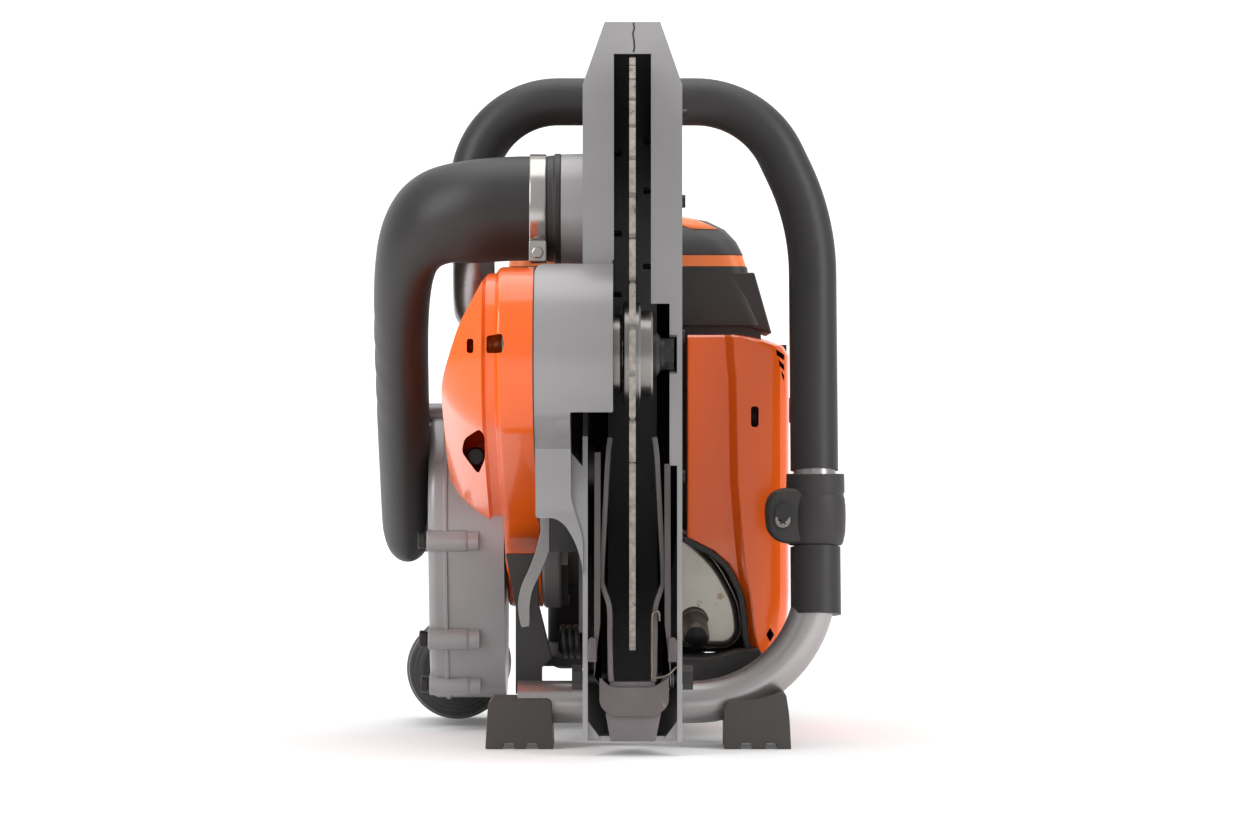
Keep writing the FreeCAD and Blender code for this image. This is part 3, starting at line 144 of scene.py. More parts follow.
ORANGE = (0.95, 0.128, 0.005)
MATERIALS = {
    "orange": surface("orange", ORANGE, rough=0.24, coat=0.5, vary=0.03, grain=500, bump=0.02),
    "cast_grey": surface("cast_grey", (0.33, 0.32, 0.325), rough=0.34, metal=0.25, vary=0.07, grain=1600, bump=0.12),
    "dark_plastic": surface("dark_plastic", (0.026, 0.0235, 0.0225), rough=0.5, vary=0.15, grain=2200, bump=0.25),
    "black_rubber": surface("black_rubber", (0.02, 0.018, 0.0175), rough=0.46, vary=0.15, grain=1500, bump=0.15),
    "tube_metal": surface("tube_metal", (0.4, 0.385, 0.385), rough=0.3, metal=0.85, vary=0.1, grain=700, bump=0.08,
                          wear=((0.22, 0.15, 0.1), 0.63)),
    "machined_steel": surface("machined_steel", (0.3, 0.29, 0.275), rough=0.27, metal=1.0, vary=0.12, grain=1300,
                              bump=0.06, wear=((0.12, 0.1, 0.09), 0.64)),
    "black_steel": surface("black_steel", (0.035, 0.033, 0.033), rough=0.4, metal=0.6, vary=0.2, grain=1300,
                           bump=0.1),
    "cast_alloy": surface("cast_alloy", (0.27, 0.265, 0.26), rough=0.45, metal=0.85, vary=0.16, grain=500, bump=0.4,
                          wear=((0.16, 0.14, 0.12), 0.62)),
    "pressed_steel": surface("pressed_steel", (0.46, 0.43, 0.38), rough=0.33, metal=0.9, vary=0.16, blotch=28,
                             grain=400, bump=0.1, wear=((0.3, 0.2, 0.12), 0.6)),
    "blade_steel": surface("blade_steel", (0.3, 0.29, 0.27), rough=0.38, metal=0.9, vary=0.15, grain=900, bump=0.1),
    "segment": surface("segment", (0.27, 0.245, 0.21), rough=0.75, metal=0.25, vary=0.35, blotch=260, grain=1800,
                       bump=0.8, wear=((0.1, 0.08, 0.07), 0.57)),
    "shoe_plastic": surface("shoe_plastic", (0.1, 0.083, 0.082), rough=0.5, vary=0.18, blotch=30, grain=900, bump=0.2,
                            wear=((0.34, 0.3, 0.29), 0.66)),
    "foot_plastic": surface("foot_plastic", (0.055, 0.048, 0.043), rough=0.55, vary=0.12, grain=1800, bump=0.3),
    "filter": surface("filter", (0.6, 0.56, 0.45), rough=0.9, vary=0.08, grain=2600, bump=0.6),
    "ceramic": surface("ceramic", (0.75, 0.74, 0.7), rough=0.15, coat=0.4, vary=0.04, grain=300, bump=0.02),
    "cord": surface("cord", (0.62, 0.6, 0.56), rough=0.85, vary=0.2, blotch=300, grain=3200, bump=0.9),
    "belt_rubber": surface("belt_rubber", (0.025, 0.024, 0.024), rough=0.7, vary=0.2, grain=1500, bump=0.3),
    "stainless": surface("stainless", (0.45, 0.43, 0.41), rough=0.22, metal=1.0, vary=0.06, grain=900, bump=0.05),
    # Near-black: painted shade for the unlit insides of the guard, bores, sockets and gaps, and also the real dark
    # colour of the guard's seam.
    "guard_inside": surface("guard_inside", (0.02, 0.018, 0.018), rough=0.6, vary=0.25, blotch=40, grain=700,
                            bump=0.3,
                            wear=((0.1, 0.09, 0.085), 0.68)),
    "shoe_lip": surface("shoe_lip", (0.13, 0.112, 0.118), rough=0.42, vary=0.15, blotch=30, grain=900, bump=0.15,
                        wear=((0.3, 0.27, 0.27), 0.66)),
    "stained_steel": surface("stained_steel", (0.2, 0.17, 0.14), rough=0.42, metal=0.8, vary=0.3, blotch=50,
                             grain=900,
                             bump=0.2),
    "stripe": surface("stripe", (0.85, 0.2, 0.05), rough=0.4, vary=0.03, grain=900, bump=0.05),
}

# ------------------------------------------------------------------ mesh tools


def make(name, verts, faces, material, body="machine", slot=None, bevel=0.0, angle=30, thick=0.0):
    """A mesh piece riding on a body, with bevelled edges and smooth faces."""
    mesh = bpy.data.meshes.new(name)
    mesh.from_pydata([tuple(v) for v in verts], [], faces)
    mesh.validate()
    shape = bmesh.new()
    shape.from_mesh(mesh)
    bmesh.ops.remove_doubles(shape, verts=shape.verts, dist=1e-6)
    bmesh.ops.recalc_face_normals(shape, faces=shape.faces)
    shape.to_mesh(mesh)
    shape.free()
    for face in mesh.polygons:
        face.use_smooth = True
    obj = bpy.data.objects.new(name, mesh)
    bpy.context.collection.objects.link(obj)
    mesh.materials.append(MATERIALS[material])
    if thick:
        solid = obj.modifiers.new("thick", "SOLIDIFY")
        solid.thickness = thick / 1000
        solid.offset = -1
    if bevel:
        soften(obj, bevel, angle)
    if body:
        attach(obj, body)
    return obj


def soften(obj, width, angle=30, segments=3):
    """Bevels sharp edges and evens the shading."""
    edge = obj.modifiers.new("bevel", "BEVEL")
    edge.width = width / 1000
    edge.segments = segments
    edge.limit_method = "ANGLE"
    edge.angle_limit = math.radians(angle)
    edge.use_clamp_overlap = True
    edge.harden_normals = False
    even = obj.modifiers.new("normals", "WEIGHTED_NORMAL")
    even.keep_sharp = False
    even.weight = 80
    return obj


def skin(rings, closed=True, caps=True):
    """Vertices and faces of a skin through rings of equal point counts."""
    verts = [p for ring in rings for p in ring]
    count = len(rings[0])
    faces = []
    for i in range(len(rings) - 1):
        for j in range(count if closed else count - 1):
            k = (j + 1) % count
            faces.append((i * count + j, i * count + k, (i + 1) * count + k, (i + 1) * count + j))
    if caps:
        faces.append(tuple(range(count))[::-1])
        faces.append(tuple((len(rings) - 1) * count + j for j in range(count)))
    return verts, faces


def round_corners(points, radii, steps=6):
    """A 2-D outline with its corners rounded: one radius for every corner, or one for all."""
    if not isinstance(radii, (list, tuple)):
        radii = [radii] * len(points)
    out = []
    count = len(points)
    for i, radius in enumerate(radii):
        p = Vector(points[i])
        a = (Vector(points[i - 1]) - p)
        b = (Vector(points[(i + 1) % count]) - p)
        reach = min(radius, a.length * 0.48, b.length * 0.48)
        if reach < 0.05:
            out.append(tuple(p))
            continue
        a, b = p + a.normalized() * reach, p + b.normalized() * reach
        for k in range(steps + 1):
            t = k / steps
            out.append(tuple(a * (1 - t) ** 2 + p * 2 * t * (1 - t) + b * t ** 2))
    return out


def placed(axis, u, v, w):
    """The point with in-plane coordinates u, v and w along axis."""
    if axis == "X":
        return at(w, u, v)
    if axis == "Y":
        return at(u, w, v)
    return at(u, v, w)


def plate(name, axis, span, outline, material, **kw):
    """A prism along an axis from a 2-D outline in millimetres."""
    rings = [[placed(axis, u, v, w) for u, v in outline] for w in span]
    verts, faces = skin(rings)
    return make(name, verts, faces, material, **kw)


def smooth_path(points, samples=10):
    """A smooth line through the points."""
    path = []
    ext = [points[0] * 2 - points[1]] + list(points) + [points[-1] * 2 - points[-2]]
    for i in range(1, len(ext) - 2):
        p0, p1, p2, p3 = ext[i - 1:i + 3]
        for k in range(samples):
            t = k / samples
            path.append(0.5 * ((2 * p1) + (p2 - p0) * t + (2 * p0 - 5 * p1 + 4 * p2 - p3) * t * t
                               + (3 * p1 - p0 - 3 * p2 + p3) * t ** 3))
    path.append(points[-1].copy())
    return path


def sweep(name, path, radius, material, around=28, **kw):
    """A tube along a path; radius is a number or a function of the distance share."""
    rings = []
    heading = (path[1] - path[0]).normalized()
    side = heading.orthogonal().normalized()
    total = sum((b - a).length for a, b in zip(path, path[1:]))
    gone = 0.0
    for i, spot in enumerate(path):
        ahead = (path[min(i + 1, len(path) - 1)] - path[max(i - 1, 0)]).normalized()
        side = (side - ahead * side.dot(ahead)).normalized()
        other = ahead.cross(side)
        if i:
            gone += (spot - path[i - 1]).length
        r = (radius(gone / total) if callable(radius) else radius) / 1000
        rings.append([spot + (side * math.cos(a) + other * math.sin(a)) * r
                      for a in (2 * math.pi * k / around for k in range(around))])
    verts, faces = skin(rings)
    return make(name, verts, faces, material, **kw)


# ------------------------------------------------------------------ carried-over parts

record = frame["record"]
slots = {part["node"]: part["material_slot"] for part in record["subparts"]}
SOFTEN = {
    "guard_left": 1.6, "guard_right": 1.6, "fan_housing_inner": 1.2, "fan_housing_outer": 1.0, "cutting_arm": 1.0,
    "flange_outer": 0.5, "flange_inner": 0.5, "bearing_cover": 0.6, "blade_bolt": 0.5, "blade_segments": 0.3,
    "support_arm": 1.4, "cradle": 1.6, "flap_pins": 0.5, "suction_spigot": 0.5, "rear_handle": 1.0,
    "cover_screws": 0.5, "handle_sleeve": 0.6, "handle_grip": 0.6, "fuel_cap": 0.8, "throttle_trigger": 0.8,
    "throttle_lock": 0.8, "choke_knob": 0.8, "stop_switch": 0.5, "starter_grip": 0.6, "carburettor": 0.6,
}
DARKER = {"vibration_springs": "black_steel", "support_arm": "cast_alloy"}
for label, obj in NODES.items():
    obj.data.materials.clear()
    obj.data.materials.append(MATERIALS[DARKER.get(label, slots[label])])
    for face in obj.data.polygons:
        face.use_smooth = True
    if label in SOFTEN:
        soften(obj, SOFTEN[label])
    else:
        crease = obj.modifiers.new("split", "EDGE_SPLIT")
        crease.split_angle = math.radians(35)


def centre(node):
    """The middle of a node's box, in millimetres from the disc's plane, its axis and the floor."""
    low, high = (Vector(c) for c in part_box(node))
    middle = (low + high) / 2
    return Vector((middle.x - DISC.x, middle.y - DISC.y, middle.z)) * 1000


# The guard halves' inward faces behind the front and within the rim take the near-black second material: painted
# shade for the guard's unlit inside.
GUARD_INNER, GUARD_DEEP, GUARD_RIM = 26.6, 8.0, 193.0
for label in ("guard_left", "guard_right"):
    guard_mesh = NODES[label].data
    guard_mesh.materials.append(MATERIALS["guard_inside"])
    for face in guard_mesh.polygons:
        spot = face.center
        x, y, z = (spot.x - DISC.x) * 1000, (spot.y - DISC.y) * 1000, (spot.z - DISC.z) * 1000
        inward = face.normal.x * (1 if label == "guard_left" else -1) > -0.2
        if abs(x) < GUARD_INNER and y > GUARD_DEEP and math.hypot(y, z) < GUARD_RIM and inward:
            face.material_index = 1

# ------------------------------------------------------------------ more mesh tools


def bake(obj):
    """Turns a piece's modifiers into its mesh."""
    depsgraph = bpy.context.evaluated_depsgraph_get()
    solid = bpy.data.meshes.new_from_object(obj.evaluated_get(depsgraph))
    obj.modifiers.clear()
    obj.data = solid
    for face in solid.polygons:
        face.use_smooth = True
    return obj


def combine(obj, axis, span, outline, operation):
    """Joins a piece with a prism by a boolean operation."""
    rings = [[placed(axis, u, v, w) for u, v in outline] for w in span]
    verts, faces = skin(rings)
    mesh = bpy.data.meshes.new("cutter")
    mesh.from_pydata([tuple(v) for v in verts], [], faces)
    shape = bmesh.new()
    shape.from_mesh(mesh)
    bmesh.ops.recalc_face_normals(shape, faces=shape.faces)
    shape.to_mesh(mesh)
    shape.free()
    tool = bpy.data.objects.new("cutter", mesh)
    bpy.context.collection.objects.link(tool)
    cut = obj.modifiers.new("cut", "BOOLEAN")
    cut.operation = operation
    cut.solver = "EXACT"
    cut.object = tool
    bpy.context.view_layer.update()
    bake(obj)
    bpy.data.objects.remove(tool)


def carve(obj, cutters):
    """Cuts each (axis, span, outline) prism out of a piece."""
    for axis, span, outline in cutters:
        combine(obj, axis, span, outline, "DIFFERENCE")
    return obj


def hollow(obj, thick, is_open):
    """Opens a solid where is_open(centre, normal) holds and leaves a wall of the given thickness."""
    shape = bmesh.new()
    shape.from_mesh(obj.data)
    gone = [face for face in shape.faces if is_open(face.calc_center_median(), face.normal)]
    bmesh.ops.delete(shape, geom=gone, context="FACES")
    shape.to_mesh(obj.data)
    shape.free()
    wall = obj.modifiers.new("wall", "SOLIDIFY")
    wall.thickness = thick / 1000
    wall.offset = -1
    bpy.context.view_layer.update()
    return bake(obj)


def circle(u, v, radius, steps=48):
    return [(u + radius * math.cos(2 * math.pi * k / steps), v + radius * math.sin(2 * math.pi * k / steps))
            for k in range(steps)]


def spread(outline, depth):
    """An outline drawn on the disc's plane, opened out to the place it covers at a depth behind it."""
    grow = (CAMERA_DISTANCE + depth) / CAMERA_DISTANCE
    return [(x * grow, CAMERA_HEIGHT + (z - CAMERA_HEIGHT) * grow) for x, z in outline]


def inset(outline, amount):
    """A 2-D outline moved inwards by an amount, towards its middle side."""
    count = len(outline)
    area = sum(outline[i - 1][0] * outline[i][1] - outline[i][0] * outline[i - 1][1] for i in range(count))
    turn = 1 if area > 0 else -1
    moved = []
    for i in range(count):
        p, q, r = Vector(outline[i - 1]), Vector(outline[i]), Vector(outline[(i + 1) % count])
        before, after = (q - p).normalized(), (r - q).normalized()
        normal = Vector((-(before.y + after.y), before.x + after.x)).normalized() * turn
        stretch = max(0.5, normal.dot(Vector((-before.y, before.x)) * turn))
        moved.append(tuple(q + normal * amount / stretch))
    return moved


def shell(name, axis, outline, steps, material, **kw):
    """A pan with rounded rims: steps are (place along the axis, inset of the outline)."""
    rings = [[placed(axis, u, v, w) for u, v in inset(outline, inwards)] for w, inwards in steps]
    verts, faces = skin(rings)
    return make(name, verts, faces, material, **kw)


def strip(name, line, half, span, material, **kw):
    """A bar along a line in the X-Z plane, half thick each side, from front to back over span."""
    left, right = [], []
    for i, spot in enumerate(line):
        a, b = Vector(line[max(i - 1, 0)]), Vector(line[min(i + 1, len(line) - 1)])
        heading = (b - a).normalized()
        normal = Vector((-heading.y, heading.x)) * half
        left.append(tuple(Vector(spot) + normal))
        right.append(tuple(Vector(spot) - normal))
    return plate(name, "Y", span, left + right[::-1], material, **kw)


def turned(name, axis, profile, u, v, material, around=48, **kw):
    """A turned piece about an axis through (u, v): profile is (place along the axis, radius) pairs."""
    rings = [[placed(axis, u + r * math.cos(a), v + r * math.sin(a), w)
              for a in (2 * math.pi * k / around for k in range(around))] for w, r in profile]
    verts, faces = skin(rings)
    return make(name, verts, faces, material, **kw)


def spline(rows, samples=8):
    """Rows of numbers joined smoothly, column by column."""
    ends = [rows[0]] + list(rows) + [rows[-1]]
    out = []
    for i in range(1, len(ends) - 2):
        for k in range(samples):
            t = k / samples
            out.append(tuple(
                0.5 * (2 * b + (c - a) * t + (2 * a - 5 * b + 4 * c - d) * t * t + (3 * b - a - 3 * c + d) * t ** 3)
                for a, b, c, d in zip(*ends[i - 1:i + 3])))
    out.append(tuple(rows[-1]))
    return out


def belt_line(near, far, steps=26):
    """The outline of two circles (y, z, r) joined by tangents, as (y, z) points."""
    (y0, z0, r0), (y1, z1, r1) = near, far
    lean = math.atan2(z1 - z0, y1 - y0)
    wrap = math.acos((r0 - r1) / math.hypot(y1 - y0, z1 - z0))
    points = []
    for (y, z, r), start, stop in ((near, wrap, 2 * math.pi - wrap), (far, -wrap, wrap)):
        for k in range(steps + 1):
            a = lean + start + (stop - start) * k / steps
            points.append((y + r * math.cos(a), z + r * math.sin(a)))
    return points


SPIGOT, CRANK = centre("suction_spigot"), centre("clutch_drum")

# ------------------------------------------------------------------ suction hose

HOSE_OUT = 16.5
hose_rows = [  # centre x, share of the slanted run, rise above it, half thickness, half width
    (-50, 0.0, 0, 31.6, 31.6), (-72, 0.0, 0, 31.6, 31.6), (-97, 0.004, -1, 30.8, 31.8), (-117, 0.03, 1, 26.6, 32.4),
    (-131, 0.09, 3, 21.6, 33), (-139, 0.18, 2, 18.6, 33), (-143, 0.34, 0, 17, 33), (-144.4, 0.6, 0, HOSE_OUT, 33),
    (-144.6, 0.85, 0, HOSE_OUT, 32.5), (-144.6, 1.0, 0, HOSE_OUT, 31),
]
run = Vector((0, CRANK.y - SPIGOT.y, CRANK.z - SPIGOT.z))
across = Vector((0, -run.z, run.y)).normalized()
DENTS = (0.33, 0.42, 0.51, 0.60)


def hose():
    """The moulded hose: round at the guard, turned down and flattened, with a blind rounded end."""
    rows = spline(hose_rows, 9)
    centres = [Vector((x, SPIGOT.y, SPIGOT.z)) + run * share + Vector((0, 0, 1)) * rise
               for x, share, rise, _, _ in rows]
    rings = []
    for i, (spot, row) in enumerate(zip(centres, rows)):
        heading = (centres[min(i + 1, len(rows) - 1)] - centres[max(i - 1, 0)]).normalized()
        outward = across.cross(heading).normalized()
        dent = sum(0.05 * math.exp(-((row[1] - place) / 0.012) ** 2) for place in DENTS)
        rings.append((spot, outward, row[3], row[4], dent))
    end, outward = centres[-1], rings[-1][1]
    for k in range(1, 9):
        a = math.pi / 2 * k / 8.2
        rings.append((end + run.normalized() * 30 * math.sin(a), outward, HOSE_OUT * math.cos(a) ** 0.6,
                      31 * math.cos(a), 0))
    points = []
    for spot, side, thick, wide, dent in rings:
        ring = []
        for k in range(44):
            a = 2 * math.pi * k / 44
            lean = math.cos(a)
            reach = thick * (1 - (dent if side.x * lean < -0.3 else 0))
            p = spot + side * reach * lean + across * wide * math.sin(a)
            ring.append(at(*p))
        points.append(ring)
    verts, faces = skin(points)
    return make("hose_body", verts, faces, "black_rubber")


hose_body = hose()
turned("hose_cuff", "X", [(-43, 29), (-43, 32.6), (-43.6, 33.4), (-46.8, 33.4), (-47.6, 32.3),
                          (-51.5, 32.1), (-51.5, 29)], SPIGOT.y, SPIGOT.z, "black_rubber", bevel=0.5)
turned("hose_neck", "X", [(-134, 22), (-134, 24), (-127.4, 24), (-127.4, 22)], CRANK.y, CRANK.z, "black_rubber")
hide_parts("suction_hose")

BAND_R = 32.0
band = turned("clamp_band", "X", [(-62, BAND_R), (-62, BAND_R + 0.9), (-61.2, BAND_R + 1.1), (-52.8, BAND_R + 1.1),
                                  (-52, BAND_R + 0.9), (-52, BAND_R)], SPIGOT.y, SPIGOT.z, "stainless", around=72)
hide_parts("hose_clamp")
BOX_Y, BOX_Z = SPIGOT.y - 21, SPIGOT.z - 27
plate("clamp_housing", "Y", (BOX_Y - 7, BOX_Y + 9), round_corners(
    [(-62.4, BOX_Z - 6), (-51.6, BOX_Z - 6), (-51.6, BOX_Z + 7), (-62.4, BOX_Z + 7)], 1.5), "stainless", bevel=0.8)
turned("clamp_screw", "Y", [(BOX_Y - 11, 2.2), (BOX_Y - 11, 3.3), (BOX_Y - 10.4, 3.8), (BOX_Y - 7, 3.8)], -57,
       BOX_Z - 0.5, "stainless", around=6, bevel=0.4)

# ------------------------------------------------------------------ guard details

# Ribs under the guard's top, inside it, coloured near-black: painted shade of the guard's unlit inside.
for side, heights in ((-1, (360, 311, 274)), (1, (367, 337, 291))):
    for number, height in enumerate(heights):
        x0, x1 = sorted((side * 6.5, side * 26.2))
        plate(f"guard_rib_{'left' if side < 0 else 'right'}_{number}", "Z", (height, height + 2.4),
              [(x0, 60), (x1, 60), (x1, 96), (x0, 96)], "guard_inside", slot="dark_plastic", bevel=0.6)
seam_line = [(0.6, 434.5), (1.1, 431), (0.2, 428), (0.9, 424), (1.2, 420), (0.6, 417)]
strip("guard_seam", seam_line, 0.45, (5.75, 6.4), "guard_inside", slot="dark_plastic")
plate("machined_edge", "Y", (3.6, 6.2), round_corners([(-41, 154), (-36.6, 154), (-36.6, 187), (-41, 187)], 2),
      "machined_steel")
for side, word in ((-1, "left"), (1, "right")):
    plate(f"foot_rib_{word}", "Y", (9, 11.4), [(side * 27.4, 10), (side * 18.5, 10), (side * 27.4, 22)], "cast_grey",
          bevel=0.5)
NOSE_R = 53.5
nose_side = [(NOSE_R * math.cos(a), 238 + NOSE_R * math.sin(a))
             for a in (math.radians(80 + 145 * k / 30) for k in range(31))]
nose_side += [(-8, 182), (2, 160), (4.6, 146), (4.6, 108), (34, 108), (34, 282)]
nose_front = round_corners([
    (-57.4, 291.6), (-31.5, 291.6), (-28.6, 296), (-11.4, 296), (-11.4, 203.6), (-36.4, 203.6), (-36.4, 153),
    (-33, 141), (-29.4, 130), (-29.2, 108), (-30.5, 116), (-34, 127), (-40, 137), (-46, 141), (-57.4, 141)],
    [7, 3, 3, 1, 1, 1, 3, 10, 6, 0.5, 6, 8, 8, 4, 2])
nose = plate("nose_casting", "X", (-57.4, -11.4), nose_side, "cast_grey")
combine(nose, "Y", (-80, 80), nose_front, "INTERSECT")
carve(nose, [("X", (-60, 0), circle(0, 238, 17.5))])
soften(nose, 1.8, 32)
# A dark plate behind the notch, standing for the unlit inside.
plate("notch_back", "Y", (40, 43), [(-50, 120), (-24, 120), (-24, 212), (-50, 212)], "guard_inside",
      slot="dark_plastic")
turned("notch_boss", "X", [(-36, 11), (-36, 14), (-32, 14), (-31, 12.4), (-29, 12.4), (-28, 14), (-22.5, 14),
                           (-21.5, 12.5), (-21.5, 4)], 24, 170, "black_steel", bevel=0.5)
turned("notch_bolt", "X", [(-36, 2), (-36, 4.8), (-30, 4.8), (-29.4, 4.2), (-29.4, 2)], 12, 157, "black_steel",
       around=6, bevel=0.4)

# ------------------------------------------------------------------ dust shoe

SHOE_FRONT, SHOE_BACK = -3.6, 30.0
for side, top in ((-1, 180), (1, 173)):
    word = "left" if side < 0 else "right"
    lip = [(side * 13, 189), (side * 14.5, 176), (side * 16.5, 140), (side * 18.2, 106), (side * 17, 99),
           (side * 13.6, 88), (side * 13.3, 70), (side * 13, 50), (side * 12.4, 44)]
    strip(f"shoe_lip_{word}", spline(lip, 5), 1.6, (2, SHOE_BACK), "shoe_lip", body="shoe", slot="shoe_plastic",
          bevel=0.7)
    arm_line = [(side * 20.6, top), (side * 20.8, 60), (side * 20.4, 48), (side * 16, 40)]
    strip(f"shoe_arm_{word}", spline(arm_line, 5), 1.8, (0, SHOE_BACK), "shoe_plastic", body="shoe", bevel=0.8)
    tab = [(side * 21, 56), (side * 26.2, 56), (side * 26.2, 68), (side * 25, 70.5), (side * 21, 70.5)]
    plate(f"shoe_tab_{word}", "Y", (SHOE_FRONT, 4.6), tab, "shoe_plastic", body="shoe", bevel=0.9)
jaw_outline = round_corners([(-19.5, 47), (-19.5, 30), (-13, 24), (14, 24), (21.5, 30), (21.5, 47), (13, 41),
                             (-13, 41)],
                            [1, 6, 6, 6, 6, 1, 5, 5])
shoe_jaw = plate("shoe_jaw", "Y", (SHOE_FRONT, SHOE_BACK), jaw_outline, "shoe_plastic", body="shoe", bevel=1.2)
plate("shoe_floor", "Y", (3, SHOE_BACK), round_corners([(-13.5, 47), (-13.5, 41), (13.5, 41), (13.5, 47), (11, 44),
                                                        (-11, 44)], 1.5), "shoe_lip", body="shoe",
      slot="shoe_plastic", bevel=0.6)
plate("shoe_tongue", "Y", (-1.8, 2.6), [(-16, 26), (17, 26), (13.6, 9), (-13, 9)], "shoe_lip", body="shoe",
      slot="shoe_plastic", bevel=0.8)
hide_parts("guard_flap")
leg_points = [at(26, 12, 53), at(25, 2, 52), at(20, -2.5, 48), at(12.2, -2.8, 47), at(11.6, -2.6, 52),
              at(11.4, -1, 80),
              at(12.4, 0.2, 85), at(15.4, 0.4, 85.4), at(16, 0.6, 80)]
sweep("flap_spring_leg", smooth_path(leg_points, 8), 0.7, "stained_steel", around=12, slot="machined_steel",
      body="shoe")

# ------------------------------------------------------------------ belt cover

cover_line = belt_line((0, 238, 51.5), (135, 187, 51.5))
COVER_BANDS = [  # place across the machine, how far in the wall lies
    (-57.5, 0), (-76.5, 0), (-78.5, 0.8), (-80.5, 3.6), (-86, 3.8), (-88, 1.6), (-91, 3.4), (-99, 9), (-107, 17),
    (-113, 27), (-115.5, 36),
]
front_line = round_corners([
    (-57.5, 291), (-79, 290), (-86, 284.5), (-101.5, 255), (-112.5, 221), (-114, 184), (-111.5, 148), (-97, 131.5),
    (-57.5, 130)], [0.2, 3, 4, 7, 10, 10, 9, 8, 0.2])


def cover():
    """The belt cover's front: bands along the drive's outline, cut to its faceted front outline."""
    rings = [[at(x, y, z) for y, z in inset(cover_line, inward)] for x, inward in COVER_BANDS]
    verts, faces = skin(rings)
    obj = make("belt_cover_front", verts, faces, "orange")
    combine(obj, "Y", (-90, 260), front_line, "INTERSECT")
    return hollow(obj, 2.4, lambda spot, normal: normal.x > 0.95 and spot.x > at(-58, 0, 0).x)


belt_front = cover()
tear = round_corners([(-101.5, 180), (-99, 188), (-89, 194), (-86.2, 190), (-87, 176), (-92, 166.5)], 3)
pocket = round_corners([(-85, 238), (-76, 238), (-74.5, 243), (-76, 249.5), (-85, 248)], 1.5)
oval = round_corners([(-96.6, 238), (-92.6, 238), (-92.6, 246.5), (-96.6, 246.5)], 2)
carve(belt_front, [("Y", (-60, 82), spread(tear, 30)), ("Y", (-60, -30), pocket), ("Y", (-60, -20), oval)])
soften(belt_front, 0.8, 24)
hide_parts("belt_cover")
turned("cover_screw_deep", "Y", [(58, 3), (58, 4.8), (59, 5.4), (83, 5.4)], -94.6, 177, "black_steel",
       around=24, bevel=0.4)
plate("cover_well", "Y", (84, 87), [(-103, 168), (-84, 168), (-84, 197), (-103, 197)], "orange")
plate("pocket_floor", "Y", (-30, -27), [(-90, 234), (-70, 234), (-70, 253), (-90, 253)], "orange")
plate("oval_floor", "Y", (-20, -17), [(-99, 234), (-90, 234), (-90, 250), (-99, 250)], "orange")
rear_line = belt_line((60, 215, 46), (CRANK.y, CRANK.z, 59.4))
shell("belt_cover_rear", "X", rear_line, [(-57.5, 0), (-76, 0), (-78.6, 1.2), (-79.8, 4)], "orange", bevel=0.6)
plate("cover_gasket", "X", (-58.2, -57.2), inset(cover_line, -0.4), "black_rubber", bevel=0.2)

# ------------------------------------------------------------------ starter cover

STARTER_ROWS = [  # height, left edge, crease, right edge, how far in the rim lies
    (46.5, 79, 81.5, 84, 4), (48, 78, 80.5, 87, 1.5), (52, 75.4, 78.5, 90, 0), (57, 72.9, 76, 93.5, 0),
    (64, 71.8, 74.4, 96, 0), (80, 70.4, 72.6, 97.6, 0), (90.7, 68.9, 71.4, 98, 0), (100, 64.9, 69.2, 98, 0),
    (109.3, 59.5, 67.6, 98, 0), (117.3, 50.2, 66.8, 98, 0), (122.5, 40, 66.4, 98, 0), (125.5, 34, 66, 98, 0),
    (160, 34, 63.2, 98, 0), (200, 34, 62.6, 98, 0), (225, 34, 62.2, 98, 0), (239, 34, 60.8, 98, 0),
    (245, 34, 60.6, 94.6, 0), (248.4, 34, 60.4, 86, 0.4), (250.6, 34, 60.2, 76, 1.2), (252, 34, 60, 68, 3.4),
]


def starter_ring(z, left, crease, right, rim):
    """The cover's outline at a height, open at the back: inner face, lit facet, main face and rounded side."""
    span = right - crease
    points = [(left, 346), (left, 168.6), (left + 0.6, 167), (min(left + 1.6, crease - 1), 166.6),
              (max(crease - 2.4, left + 1.7), 166.2), (crease + 1.6, 161), (crease + min(2.8, span * 0.3), 160.2),
              (right - min(12, span * 0.5), 160.2), (right - min(6, span * 0.3), 161.6),
              (right - min(2.4, span * 0.15), 165.2), (right - 0.5, 171), (right, 179), (right, 346)]
    return [at(x, y + (rim if y < 300 else 0), z) for x, y in points]


verts, faces = skin([starter_ring(*row) for row in STARTER_ROWS], closed=False)
starter = make("starter_body", verts, faces, "orange", thick=2.4)
bpy.context.view_layer.update()
bake(starter)
slot_hole = round_corners([(73.8, 194.5), (78.6, 194.5), (78.6, 207.4), (73.8, 207.4)], 2.2)
diamond = [(85.8, 60.6), (88.3, 65.2), (85.8, 69.6), (83.3, 65.2)]
vent_cuts = [("Y", (150, 174), [(89.5 + k * 1.6, 243 - k * 6.5), (94.6, 239.6 - k * 6.5), (94.6, 236 - k * 6.5),
                               (89.9 + k * 1.6, 239.4 - k * 6.5)]) for k in range(3)]
intake_cuts = [("X", (90, 104), round_corners([(CRANK.y - 34, CRANK.z + z0), (CRANK.y + 34, CRANK.z + z0),
                                               (CRANK.y + 34, CRANK.z + z0 + 5), (CRANK.y - 34, CRANK.z + z0 + 5)],
                                              2.4))
               for z0 in (-38, -26, -14, 10, 22, 34)]
carve(starter, [("Y", (150, 175), slot_hole), ("Y", (150, 178), diamond), *vent_cuts, *intake_cuts])
